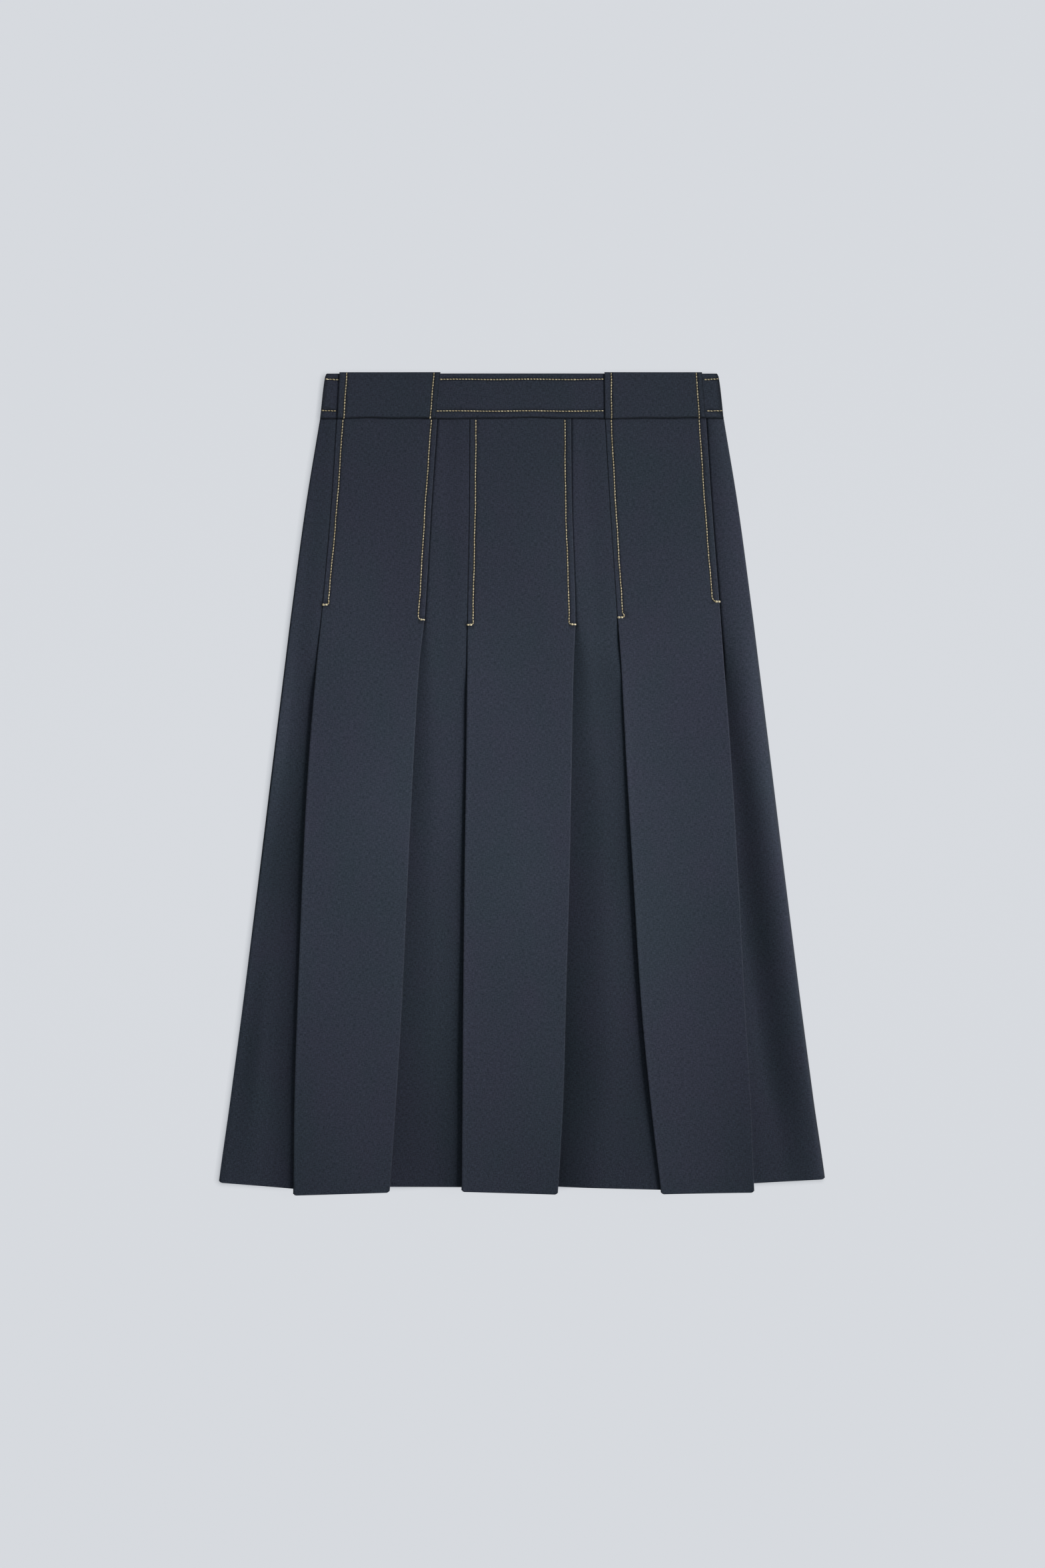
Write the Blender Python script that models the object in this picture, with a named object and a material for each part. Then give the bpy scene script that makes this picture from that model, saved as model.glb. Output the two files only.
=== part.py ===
"""A pleated skirt laid flat, front up.

The skirt lies on Z = 0 with its waist towards +Y and its thickness along Z, centred on
X = 0 and Y = 0.  Left and right are as seen from above.  Tables are in millimetres; the
meshes are made in metres.

The front is one cloth with three box pleats.  Each pleat folds the cloth into a stack of
three layers: layer 0 runs in under the box, layer 1 runs back out to the box's edge, and
layer 2 is the box itself.
"""
import math
from collections import namedtuple

import bmesh
import bpy

MM = 0.001

# --- driving dimensions, in millimetres ------------------------------------------------
CLOTH = 1.0              # thickness of the wool cloth
GAP = 0.3                # kept between pieces, and between one layer and the next
BAND = 2.1               # thickness of the waistband, a folded cloth
STRAP = 1.0              # thickness of a strap
WAIST_SEAM = 356.0       # Y of the seam between skirt and waistband
BAND_TOP = 399.8         # Y of the waistband's top edge
HEM = -393.0             # Y of the recesses' hem, which the other hems are set from
PLEAT_DEPTH = 0.43       # how far a box's folds reach in under it, as a share of its width
STITCH_HOLD = (160.0, 100.0)     # Y where the stitching holds the pleats fully, and no more
TUCK_REACH = 28.0        # length over which held cloth comes down to the box it goes under
SETTLE = 1.6             # how fast the folds under a box come down to lie flat
FACE_BEND = 1.3          # a face comes down fastest beside its higher, left edge
SEAM_ROUND = 1.6         # over this distance the right panel's ridge rounds off to its seam
CREST_SLOPE = 0.3        # and before that it slopes down to the seam as steeply as this
ZIP_WIDTH = 24.0
ZIP_THICKNESS = 0.6
ZIP_END = 166.0          # Y of the closed zip's lower end
HUMP = 1.0               # how far the zip raises what lies over it
HUMP_FLAT, HUMP_REACH = 30.0, 150.0     # half-widths of the hump's level top and its foot
HUMP_FADE = 110.0        # length over which the hump dies away below the zip

LAYER = CLOTH + GAP      # height from one layer to the next
FOLD_STEPS = 3           # flats in each half-turn of the cloth
BOXES = ("left", "centre", "right")

# Outline and the six edges of the boxes.  half: half the skirt's width.
Outline = namedtuple("Outline", "y half left_a left_b centre_a centre_b right_a right_b")
OUTLINE = [
    Outline(356.0, 196.7, -180.5, -82.4, -50.8, 48.0, 81.1, 179.7),
    Outline(270.0, 210.8, -186.1, -88.3, -51.2, 48.9, 86.0, 185.4),
    Outline(165.0, 224.9, -195.3, -94.6, -53.0, 52.2, 93.0, 193.6),
    Outline(114.0, 231.2, -200.7, -100.2, -53.6, 50.4, 96.5, 197.2),
    Outline(17.0, 243.2, -208.5, -106.0, -54.7, 48.4, 101.5, 204.1),
    Outline(-81.0, 255.2, -213.5, -110.8, -56.2, 46.5, 107.3, 210.0),
    Outline(-211.0, 271.5, -218.7, -116.7, -57.5, 42.9, 115.4, 216.8),
    Outline(-308.0, 284.3, -221.8, -122.5, -58.2, 40.2, 124.6, 222.6),
    Outline(-393.0, 295.4, -222.8, -128.7, -58.8, 35.1, 135.2, 226.2),
]

# --- the drape, as the pleats lie below their stitching ----------------------------------
# Each box's edges above the pressed stack, by y.
Loft = namedtuple("Loft", "y left_a left_b centre_a centre_b right_a right_b")
LOFT = [
    Loft(356.0, 0.0, 0.0, 0.0, 0.0, 0.0, 0.0),
    Loft(170.0, 0.0, 0.0, 0.0, 0.0, 0.0, 0.0),
    Loft(114.0, 0.8, 0.4, 1.0, 0.4, 3.2, 1.8),
    Loft(49.0, 1.8, 1.2, 1.9, 1.2, 4.8, 3.0),
    Loft(-16.0, 4.1, 3.0, 2.6, 1.8, 6.5, 4.0),
    Loft(-81.0, 6.2, 4.8, 4.1, 2.8, 7.3, 4.3),
    Loft(-146.0, 5.7, 4.8, 4.9, 3.4, 8.2, 4.8),
    Loft(-211.0, 5.8, 4.6, 6.4, 4.4, 9.2, 5.2),
    Loft(-276.0, 6.0, 4.6, 7.2, 4.8, 10.6, 5.8),
    Loft(-341.0, 4.0, 3.4, 6.9, 4.6, 9.2, 5.2),
    Loft(-393.0, 2.2, 2.2, 7.0, 4.6, 8.5, 5.0),
]

# The cloth of the two recesses: it climbs at once beside the first box, over a reach, and
# rises again towards the second.
Recess = namedtuple("Recess", "y climb_1 reach_1 rise_1 climb_2 reach_2 rise_2")
RECESS = [
    Recess(356.0, 0.7, 2.4, 0.0, 0.7, 2.4, 0.0),
    Recess(170.0, 0.7, 2.4, 0.0, 0.7, 2.4, 0.0),
    Recess(114.0, 1.4, 12.0, 0.2, 2.2, 16.0, 1.8),
    Recess(49.0, 2.2, 20.0, 0.8, 2.6, 22.0, 3.4),
    Recess(-16.0, 3.0, 26.0, 0.4, 3.9, 34.0, 3.4),
    Recess(-81.0, 2.5, 26.0, 2.4, 4.2, 36.0, 3.6),
    Recess(-146.0, 2.6, 30.0, 3.0, 5.6, 42.0, 2.8),
    Recess(-211.0, 2.9, 34.0, 3.8, 6.4, 45.0, 3.0),
    Recess(-276.0, 2.5, 34.0, 4.8, 7.8, 48.0, 2.8),
    Recess(-341.0, 2.0, 34.0, 5.2, 6.8, 44.0, 2.5),
    Recess(-393.0, 1.6, 34.0, 5.4, 6.6, 44.0, 2.2),
]

# The left panel: its height at the side seam, its swell, and its rise to the first box,
# which bends up late where bend is large.
LeftSide = namedtuple("LeftSide", "y seam swell rise bend")
LEFT_SIDE = [
    LeftSide(356.0, 0.0, 0.0, 0.0, 3.0),
    LeftSide(170.0, 0.3, 0.0, 0.0, 3.0),
    LeftSide(114.0, 0.5, 0.0, 1.3, 3.0),
    LeftSide(49.0, 0.7, 0.0, 2.8, 2.4),
    LeftSide(-16.0, 0.7, 0.4, 4.4, 1.9),
    LeftSide(-81.0, 0.4, 1.2, 5.2, 1.7),
    LeftSide(-146.0, 0.2, 1.2, 5.4, 1.8),
    LeftSide(-211.0, 0.0, 2.4, 4.8, 2.6),
    LeftSide(-276.0, 0.0, 3.0, 4.4, 3.2),
    LeftSide(-341.0, 0.0, 1.8, 3.6, 4.2),
    LeftSide(-393.0, 0.0, 0.6, 3.0, 4.8),
]

# The right panel's ridge: its height, and how far its crest and its foot lie from the
# side seam.  A puff of 1 starts steeply at the foot, a puff of 0 starts softly.
RightSide = namedtuple("RightSide", "y high crest foot puff")
RIGHT_SIDE = [
    RightSide(356.0, 0.5, 8.0, 16.0, 1.0),
    RightSide(170.0, 1.4, 12.0, 31.0, 1.0),
    RightSide(114.0, 3.4, 13.0, 34.0, 1.0),
    RightSide(49.0, 4.4, 13.0, 37.0, 0.8),
    RightSide(-16.0, 5.8, 12.0, 41.0, 0.35),
    RightSide(-81.0, 6.6, 9.0, 45.0, 0.3),
    RightSide(-146.0, 6.2, 8.0, 46.0, 0.1),
    RightSide(-211.0, 5.8, 7.0, 44.0, 0.0),
    RightSide(-276.0, 5.4, 6.0, 44.0, 0.0),
    RightSide(-341.0, 2.8, 7.0, 42.0, 0.0),
    RightSide(-393.0, 1.4, 8.0, 38.0, 0.0),
]
# --- hems, stations and bands ------------------------------------------------------------
# Hem of each panel: its Y at the panel's left and right edges.
Hem = namedtuple("Hem", "left right")
SIDE_HEM = (Hem(-388.9, -394.5), Hem(-389.5, -385.5))
RECESS_HEM = (Hem(-393.0, -392.5), Hem(-392.8, -394.8))
BOX_HEM = (Hem(-401.0, -398.2), Hem(-396.9, -399.8), Hem(-399.1, -397.8))
BACK_HEM_CENTRE = -391.0
BACK_HEM_SIDE = (-387.5, -384.5)
HEM_REACH = 90.0         # length over which the panels draw apart to their own hems

# Where the front is cut into sections, from the waist seam to the hem.
STATIONS = (356.0, 335.0, 300.0, 255.0, 210.0, 172.0, 145.0, 110.0, 60.0, 0.0, -70.0,
            -150.0, -235.0, -310.0, -355.0, HEM)

# Waistband from its seam to its folded top edge.  inset: how far both faces draw in.
Band = namedtuple("Band", "y half inset")
BAND_ROWS = [
    Band(WAIST_SEAM + GAP, 196.6, 0.0),
    Band(383.6, 193.7, 0.0),
    Band(395.3, 192.0, 0.0),
    Band(398.6, 190.9, 0.1),
    Band(BAND_TOP, 188.9, 0.6),
]

# Straps: X of the left and right edges at the waistband's top and at the waist seam.
Strap = namedtuple("Strap", "top_left top_right seam_left seam_right")
STRAPS = {
    "strap_left": Strap(-177.7, -79.3, -179.7, -83.9),
    "strap_right": Strap(80.5, 175.5, 81.1, 179.3),
}

# Base colours are linear; the wool is a dark grey-blue.
Finish = namedtuple("Finish", "colour roughness")
WOOL = Finish((0.028, 0.033, 0.050), 0.85)
ZIP_TAPE = Finish((0.020, 0.023, 0.032), 0.70)


# --- curves ------------------------------------------------------------------------------
def smooth(t):
    """0 below 0, 1 above 1, and an even curve between."""
    t = min(max(t, 0.0), 1.0)
    return t * t * (3.0 - 2.0 * t)


def mix(a, b, t):
    return a + (b - a) * t


def row_at(rows, y):
    """A row for any y, each column a smooth curve through the table's rows."""
    y = min(max(y, rows[-1].y), rows[0].y)
    k = next(i for i in range(len(rows) - 1) if y >= rows[i + 1].y)
    last = len(rows) - 1
    y0, y1 = rows[k].y, rows[k + 1].y
    t = (y - y0) / (y1 - y0)
    values = []
    for column in range(len(rows[0])):
        v0, v1 = rows[k][column], rows[k + 1][column]
        before, after = rows[max(k - 1, 0)], rows[min(k + 2, last)]
        slope0 = (v1 - before[column]) / (y1 - before.y) * (y1 - y0)
        slope1 = (after[column] - v0) / (after.y - y0) * (y1 - y0)
        values.append((2 * t**3 - 3 * t**2 + 1) * v0 + (t**3 - 2 * t**2 + t) * slope0
                      + (3 * t**2 - 2 * t**3) * v1 + (t**3 - t**2) * slope1)
    return type(rows[0])(*values)


def hump(x, y):
    """How far the zip raises the cloth that lies over it."""
    across = 1.0 - smooth((abs(x) - HUMP_FLAT) / (HUMP_REACH - HUMP_FLAT))
    along = smooth((y - (ZIP_END - HUMP_FADE)) / (HUMP_FADE - 15.0))
    return HUMP * across * along


def layer_mid(n):
    """Height of the middle of the front's layer n where the cloth is pressed flat."""
    return CLOTH + GAP + CLOTH / 2 + n * LAYER


# --- the front's section ------------------------------------------------------------------
# A section is a list of (x, z, hem): the cloth's middle line from the left side seam to
# the right one, with the Y that each point reaches at the hem.
def half_turn(x, z_low, z_high, side, hem):
    """The cloth turning back on itself at x, bulging towards side (-1 left, +1 right)."""
    radius = (z_high - z_low) / 2
    middle = (z_high + z_low) / 2
    reach = (radius + CLOTH / 2) * math.cos(math.pi / 2 / FOLD_STEPS)
    points = []
    for step in range(FOLD_STEPS + 1):
        angle = math.pi * (step / FOLD_STEPS - 0.5)
        points.append((x + side * (radius * math.cos(angle) - reach),
                       middle + radius * math.sin(angle), hem))
    return points


def held(y):
    """How firmly the topstitching holds the cloth down: 1 along it, 0 well below it."""
    return smooth((y - STITCH_HOLD[1]) / (STITCH_HOLD[0] - STITCH_HOLD[1]))


def tucked(y, off):
    """What is left of a height at a distance off the box that the cloth is tucked under."""
    return 1 - held(y) * max(0.0, 1 - off / TUCK_REACH)


def puffed(t, puff):
    """A climb from 0 to 1, steep at its start where puff is 1, soft where it is 0."""
    return mix(smooth(t), math.sin(math.pi / 2 * min(max(t, 0.0), 1.0)), puff)


def fold_under(edge, inward, width, rise, lift, recess_hem, box_hem):
    """One side of a box, from the recess, which stands at rise, to the box's face.

    The cloth runs in under the box, turns, runs back out, and turns again at the edge.
    """
    depth = PLEAT_DEPTH * width
    lift = max(lift, rise)
    middle = (rise + lift) / 2
    points = []
    for share in (0.0, 0.33, 0.67):
        points.append((edge + inward * depth * share,
                       layer_mid(0) + rise * (1 - share)**SETTLE, recess_hem))
    points += half_turn(edge + inward * depth, layer_mid(0), layer_mid(1), inward, recess_hem)
    for share in (0.67, 0.33):
        points.append((edge + inward * depth * share,
                       layer_mid(1) + middle * (1 - share)**SETTLE,
                       mix(box_hem, recess_hem, share)))
    points += half_turn(edge, layer_mid(1) + middle, layer_mid(2) + lift, -inward, box_hem)
    return points


def box_face(a, b, lift_a, lift_b, hem):
    """The face of a box between its two edges."""
    points = []
    for share in (0.12, 0.3, 0.5, 0.7, 0.88):
        z = layer_mid(2) + mix(lift_b, lift_a, (1 - share)**FACE_BEND)
        points.append((mix(a, b, share), z, mix(hem.left, hem.right, share)))
    return points


def recess(y, start, end, climb, reach, rise, hem):
    """The cloth between two boxes, from the first one's edge to the second one's."""
    width = end - start
    points = []
    for share in (0.1, 0.3, 0.5, 0.7, 0.88):
        high = climb * puffed(share * width / reach, 1.0) + rise * share**1.8
        points.append((mix(start, end, share),
                       layer_mid(0) + high * tucked(y, (1 - share) * width),
                       mix(hem.left, hem.right, share)))
    return points


def left_panel(y, seam, edge, side):
    """The left side panel, from its seam to the first box."""
    points = []
    for share in (0.0, 0.12, 0.25, 0.4, 0.55, 0.7, 0.87):
        high = side.swell * smooth(share / 0.45) + side.rise * share**side.bend
        z = layer_mid(0) + side.seam * (1 - smooth(share / 0.4))
        z += high * tucked(y, (1 - share) * (edge - seam))
        points.append((mix(seam, edge, share), z,
                       mix(SIDE_HEM[0].left, SIDE_HEM[0].right, share)))
    return points


def right_panel(seam, edge, side):
    """The right side panel, from its seam to the last box: a ridge along the seam."""
    width = seam - edge
    foot = min(side.foot, width)
    fall = min(CREST_SLOPE * side.crest / 2, 0.6 * side.high)
    points = []
    for share in (0.0, 0.04, 0.14, 0.28, 0.42, 0.56, 0.7, 0.85):
        off = share * width
        if off < side.crest:
            height = side.high - fall * (1 - off / side.crest)**2
            height *= math.sqrt(1 - (1 - min(off / SEAM_ROUND, 1.0))**2)
        else:
            height = side.high * puffed((foot - off) / (foot - side.crest), side.puff)
        points.append((seam - off, layer_mid(0) + height,
                       mix(SIDE_HEM[1].right, SIDE_HEM[1].left, share)))
    return points


def front_section(y):
    """The whole front at one y."""
    edges, loft, climbs = row_at(OUTLINE, y), row_at(LOFT, y), row_at(RECESS, y)
    left, right = row_at(LEFT_SIDE, y), row_at(RIGHT_SIDE, y)
    points = left_panel(y, -edges.half, edges.left_a, left)
    before = (SIDE_HEM[0].right, RECESS_HEM[0].right, RECESS_HEM[1].right)
    after = (RECESS_HEM[0].left, RECESS_HEM[1].left, SIDE_HEM[1].left)
    rises = (left.swell + left.rise, climbs.climb_1 + climbs.rise_1,
             climbs.climb_2 + climbs.rise_2)
    for k, box in enumerate(BOXES):
        a, b = getattr(edges, box + "_a"), getattr(edges, box + "_b")
        lift_a, lift_b = getattr(loft, box + "_a"), getattr(loft, box + "_b")
        rise = rises[k] * (1 - held(y))
        points += fold_under(a, 1, b - a, rise, lift_a, before[k], BOX_HEM[k].left)
        points += box_face(a, b, max(lift_a, rise), lift_b, BOX_HEM[k])
        points += reversed(fold_under(b, -1, b - a, 0.0, lift_b, after[k], BOX_HEM[k].right))
        if k < 2:
            points += recess(y, b, getattr(edges, BOXES[k + 1] + "_a"),
                             *climbs[1 + 3 * k:4 + 3 * k], RECESS_HEM[k])
    points += reversed(right_panel(edges.half, edges.right_b, right))
    return [(x, z + hump(x, y), hem) for x, z, hem in points]


def wall(points, thickness):
    """Both faces of a wall along a middle line of (x, z, ...): upper, then lower points."""
    upper, lower = [], []
    last = len(points) - 1
    for i, point in enumerate(points):
        before, after = points[max(i - 1, 0)], points[min(i + 1, last)]
        ways = []
        for start, end in ((before, point), (point, after)):
            length = math.hypot(end[0] - start[0], end[1] - start[1])
            if length:
                ways.append(((end[0] - start[0]) / length, (end[1] - start[1]) / length))
        across = (-sum(w[1] for w in ways), sum(w[0] for w in ways))
        size = math.hypot(*across)
        # The offset grows at a bend, so that the wall keeps its thickness.
        half = thickness / 2 * len(ways) / size
        shift = (across[0] / size * half, across[1] / size * half)
        upper.append((point[0] + shift[0], point[1] + shift[1]))
        lower.append((point[0] - shift[0], point[1] - shift[1]))
    return upper, lower


# --- meshes -------------------------------------------------------------------------------
def loft_rings(name, rings, material):
    """A closed solid through rings of equal count; the first and last are filled.

    A ring is an upper edge and then the lower edge back again, so its ends are filled by
    strips between the two.
    """
    mesh = bmesh.new()
    rows = [[mesh.verts.new([c * MM for c in point]) for point in ring] for ring in rings]
    count = len(rows[0])
    for first, second in zip(rows, rows[1:]):
        for i in range(count):
            j = (i + 1) % count
            mesh.faces.new((first[i], first[j], second[j], second[i]))
    for ring in (rows[0], rows[-1]):
        for i in range(count // 2 - 1):
            mesh.faces.new((ring[i], ring[i + 1], ring[count - 2 - i], ring[count - 1 - i]))
    bmesh.ops.triangulate(mesh, faces=mesh.faces[:])
    bmesh.ops.recalc_face_normals(mesh, faces=mesh.faces[:])
    data = bpy.data.meshes.new(name)
    mesh.to_mesh(data)
    mesh.free()
    data.materials.append(material)
    data.shade_smooth()
    data.set_sharp_from_angle(angle=math.radians(35))
    piece = bpy.data.objects.new(name, data)
    bpy.context.scene.collection.objects.link(piece)
    return piece


def make_material(name, colour, roughness):
    material = bpy.data.materials.new(name)
    material.use_nodes = True
    shader = material.node_tree.nodes["Principled BSDF"]
    shader.inputs["Base Color"].default_value = (*colour, 1.0)
    shader.inputs["Roughness"].default_value = roughness
    shader.inputs["Metallic"].default_value = 0.0
    return material


def make_front(material):
    rings = []
    for y in STATIONS:
        section = front_section(y)
        upper, lower = wall(section, CLOTH)
        to_hem = 1 - smooth((y - HEM) / HEM_REACH)
        ys = [y + (hem - HEM) * to_hem for _, _, hem in section]
        ring = [(x, v, z) for (x, z), v in zip(upper, ys)]
        ring += [(x, v, z) for (x, z), v in reversed(list(zip(lower, ys)))]
        rings.append(ring)
    loft_rings("front_skirt", rings, material)


def make_back(name, side, material):
    """One back panel: flat on the ground from the centre-back seam to the side seam."""
    rings = []
    hem_side = BACK_HEM_SIDE[0] if side < 0 else BACK_HEM_SIDE[1]
    for y in STATIONS:
        outer = row_at(OUTLINE, y).half - GAP
        to_hem = 1 - smooth((y - HEM) / HEM_REACH)
        shares = (0.0, 0.5, 1.0)
        points = [(side * mix(GAP / 2, outer, s),
                   y + (mix(BACK_HEM_CENTRE, hem_side, s * s) - HEM) * to_hem) for s in shares]
        ring = [(x, v, CLOTH) for x, v in points]
        ring += [(x, v, 0.0) for x, v in reversed(points)]
        rings.append(ring)
    loft_rings(name, rings, material)


def make_band(name, x_start, x_end, floor, material):
    """A waistband from x_start to x_end, as shares of its half-width, lying on floor."""
    shares = [mix(x_start, x_end, k / 12) for k in range(13)]
    rings = []
    for row in BAND_ROWS:
        xs = [row.half * s for s in shares]
        if x_start == 0:
            xs[0] = GAP / 2 if x_end > 0 else -GAP / 2
        lift = [hump(x, row.y) if floor > 0 else 0.0 for x in xs]
        ring = [(x, row.y, floor + BAND - row.inset + h) for x, h in zip(xs, lift)]
        ring += [(x, row.y, floor + row.inset + h) for x, h in reversed(list(zip(xs, lift)))]
        rings.append(ring)
    loft_rings(name, rings, material)


def make_strap(name, strap, material):
    """A strap over the front waistband, its top end turned over the band's top edge."""
    band_low = BAND + GAP
    face = band_low + BAND + GAP
    top = BAND_TOP + GAP + STRAP
    # (y, z) round the strap: along its face, over the top, and back under it.
    outer = [(WAIST_SEAM + GAP, face + STRAP), (top - 20, face + STRAP),
             (top - 0.5, face + STRAP - 0.1), (top, face + STRAP - 0.7), (top, band_low)]
    inner = [(WAIST_SEAM + GAP, face), (top - 20, face), (BAND_TOP + GAP - 0.1, face),
             (BAND_TOP + GAP, face - 0.1), (BAND_TOP + GAP, band_low)]
    rings = []
    for k in range(9):
        ring = []
        for y, z in outer + inner[::-1]:
            down = (top - y) / (top - WAIST_SEAM)
            left = mix(strap.top_left, strap.seam_left, down)
            right = mix(strap.top_right, strap.seam_right, down)
            x = mix(left, right, k / 8)
            ring.append((x, y, z + hump(x, y)))
        rings.append(ring)
    loft_rings(name, rings, material)


def make_zip(material):
    """The closed zip's tapes, flat inside the centre-back seam; they end under the band."""
    half, low = ZIP_WIDTH / 2, CLOTH + GAP
    rings = []
    for y in (ZIP_END, WAIST_SEAM - 2):
        rings.append([(-half, y, low + ZIP_THICKNESS), (half, y, low + ZIP_THICKNESS),
                      (half, y, low), (-half, y, low)])
    loft_rings("back_zip", rings, material)


def main():
    for item in list(bpy.data.objects):
        bpy.data.objects.remove(item)
    wool = {name: make_material(f"{name}_wool", *WOOL) for name in (
        "front_skirt", "back_left", "back_right", "waistband_front",
        "waistband_back_left", "waistband_back_right", *STRAPS)}
    make_front(wool["front_skirt"])
    make_back("back_left", -1, wool["back_left"])
    make_back("back_right", 1, wool["back_right"])
    make_band("waistband_front", -1, 1, BAND + GAP, wool["waistband_front"])
    make_band("waistband_back_left", 0, -1, 0.0, wool["waistband_back_left"])
    make_band("waistband_back_right", 0, 1, 0.0, wool["waistband_back_right"])
    for name, strap in STRAPS.items():
        make_strap(name, strap, wool[name])
    make_zip(make_material("zip_tape", *ZIP_TAPE))


main()
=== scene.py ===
# %% [markdown]
# # A pleated wool skirt, laid flat
#
# The skirt is a flared front with three box pleats, two plain back panels, a folded
# waistband and two wide straps.  The pleats are topstitched down over the hips and hang
# free below.  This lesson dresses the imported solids: each cloth becomes a thin shell on
# its solid's form, with softer folds, then come the stitches, the finishes and the light.
#
# The frame holds the solids at their real size, and each cloth is made in its solid's place.

# %% Load the frame
import math
from collections import namedtuple

import bpy
import numpy as np
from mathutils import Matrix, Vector


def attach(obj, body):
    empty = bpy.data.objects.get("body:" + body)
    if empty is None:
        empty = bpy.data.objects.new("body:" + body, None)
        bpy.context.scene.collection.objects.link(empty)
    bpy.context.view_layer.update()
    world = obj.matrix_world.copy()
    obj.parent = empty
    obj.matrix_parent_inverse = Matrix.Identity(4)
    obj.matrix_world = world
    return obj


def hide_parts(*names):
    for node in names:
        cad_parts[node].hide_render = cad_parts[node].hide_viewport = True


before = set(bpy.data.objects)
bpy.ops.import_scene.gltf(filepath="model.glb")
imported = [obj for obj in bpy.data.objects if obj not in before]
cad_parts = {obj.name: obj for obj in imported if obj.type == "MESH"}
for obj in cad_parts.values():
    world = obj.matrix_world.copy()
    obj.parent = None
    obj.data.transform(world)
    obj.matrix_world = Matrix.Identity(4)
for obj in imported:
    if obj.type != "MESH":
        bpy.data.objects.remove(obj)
bpy.ops.object.select_all(action="DESELECT")
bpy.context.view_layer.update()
MM = 0.001
print("solids:", ", ".join(sorted(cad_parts)))


# %% [markdown]
# ## Sizes
#
# A maker works from a few sizes: how thick the cloth is, where the waist seam runs, how
# wide the skirt is at each height and where each pleat's edges lie.  The solids use the
# same outline, in millimetres, so a shell made from it fits its solid with no fitting.
# Left and right are as seen from above, with the waist towards +Y.

# %% Sizes of the cloth and the seams
WOOL = 0.5               # thickness of the wool, which the solids round up to 1 mm
WALL = 1.0               # thickness of the solids' cloth
GAP = 0.3                # between pieces
BAND = 2.1               # thickness of the folded waistband
WAIST_SEAM = 356.0       # Y of the seam between skirt and waistband
BAND_TOP = 399.8         # Y of the waistband's folded top edge
HEM = -393.0             # Y of the recesses' hem
STITCH_END = 160.0       # Y where the topstitching ends
PLEAT_DEPTH = 0.43       # reach of a box's folds in under it, as a share of its width
ZIP_END = 166.0          # Y where the closed zip ends
BOXES = ("left", "centre", "right")

Outline = namedtuple("Outline", "y half left_a left_b centre_a centre_b right_a right_b")
OUTLINE = [
    Outline(356.0, 196.7, -180.5, -82.4, -50.8, 48.0, 81.1, 179.7),
    Outline(270.0, 210.8, -186.1, -88.3, -51.2, 48.9, 86.0, 185.4),
    Outline(165.0, 224.9, -195.3, -94.6, -53.0, 52.2, 93.0, 193.6),
    Outline(114.0, 231.2, -200.7, -100.2, -53.6, 50.4, 96.5, 197.2),
    Outline(17.0, 243.2, -208.5, -106.0, -54.7, 48.4, 101.5, 204.1),
    Outline(-81.0, 255.2, -213.5, -110.8, -56.2, 46.5, 107.3, 210.0),
    Outline(-211.0, 271.5, -218.7, -116.7, -57.5, 42.9, 115.4, 216.8),
    Outline(-308.0, 284.3, -221.8, -122.5, -58.2, 40.2, 124.6, 222.6),
    Outline(-393.0, 295.4, -222.8, -128.7, -58.8, 35.1, 135.2, 226.2),
]

Hem = namedtuple("Hem", "left right")
SIDE_HEM = (Hem(-388.9, -394.5), Hem(-389.5, -385.5))
RECESS_HEM = (Hem(-393.0, -392.5), Hem(-392.8, -394.8))
BOX_HEM = (Hem(-401.0, -398.2), Hem(-396.9, -399.8), Hem(-399.1, -397.8))
BACK_HEM_CENTRE = -391.0
BACK_HEM_SIDE = (-387.5, -384.5)
HEM_REACH = 90.0         # length over which the panels draw apart to their own hems
print("flat hem in mm:", 2 * OUTLINE[-1].half)


# %% [markdown]
# ## The drape
#
# Pressed and stitched, the pleats lie flat.  Below the stitching they spring open: each
# box stands highest along its left edge, and the cloth between two boxes starts low beside
# the first and climbs towards the second.  The side panels puff up between the pleats and
# the side seams.  No two folds are alike, so their heights are listed row by row.

# %% Heights of the folds
# Each box's edges above the pressed stack, by y.
Loft = namedtuple("Loft", "y left_a left_b centre_a centre_b right_a right_b")
LOFT = [
    Loft(356.0, 0.0, 0.0, 0.0, 0.0, 0.0, 0.0),
    Loft(170.0, 0.0, 0.0, 0.0, 0.0, 0.0, 0.0),
    Loft(114.0, 0.8, 0.4, 1.0, 0.4, 3.0, 2.6),
    Loft(49.0, 1.8, 1.2, 1.9, 1.0, 4.6, 4.1),
    Loft(-16.0, 4.1, 3.0, 2.6, 0.8, 6.4, 5.3),
    Loft(-81.0, 6.2, 4.8, 4.1, 2.0, 7.3, 5.6),
    Loft(-146.0, 5.7, 4.6, 4.9, 2.6, 8.2, 6.2),
    Loft(-211.0, 5.8, 4.4, 6.4, 3.8, 9.2, 6.8),
    Loft(-276.0, 6.0, 4.2, 7.2, 4.6, 10.6, 7.4),
    Loft(-341.0, 4.0, 3.2, 6.9, 4.8, 9.2, 6.4),
    Loft(-393.0, 2.2, 2.2, 7.0, 5.2, 8.5, 6.2),
]

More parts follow.
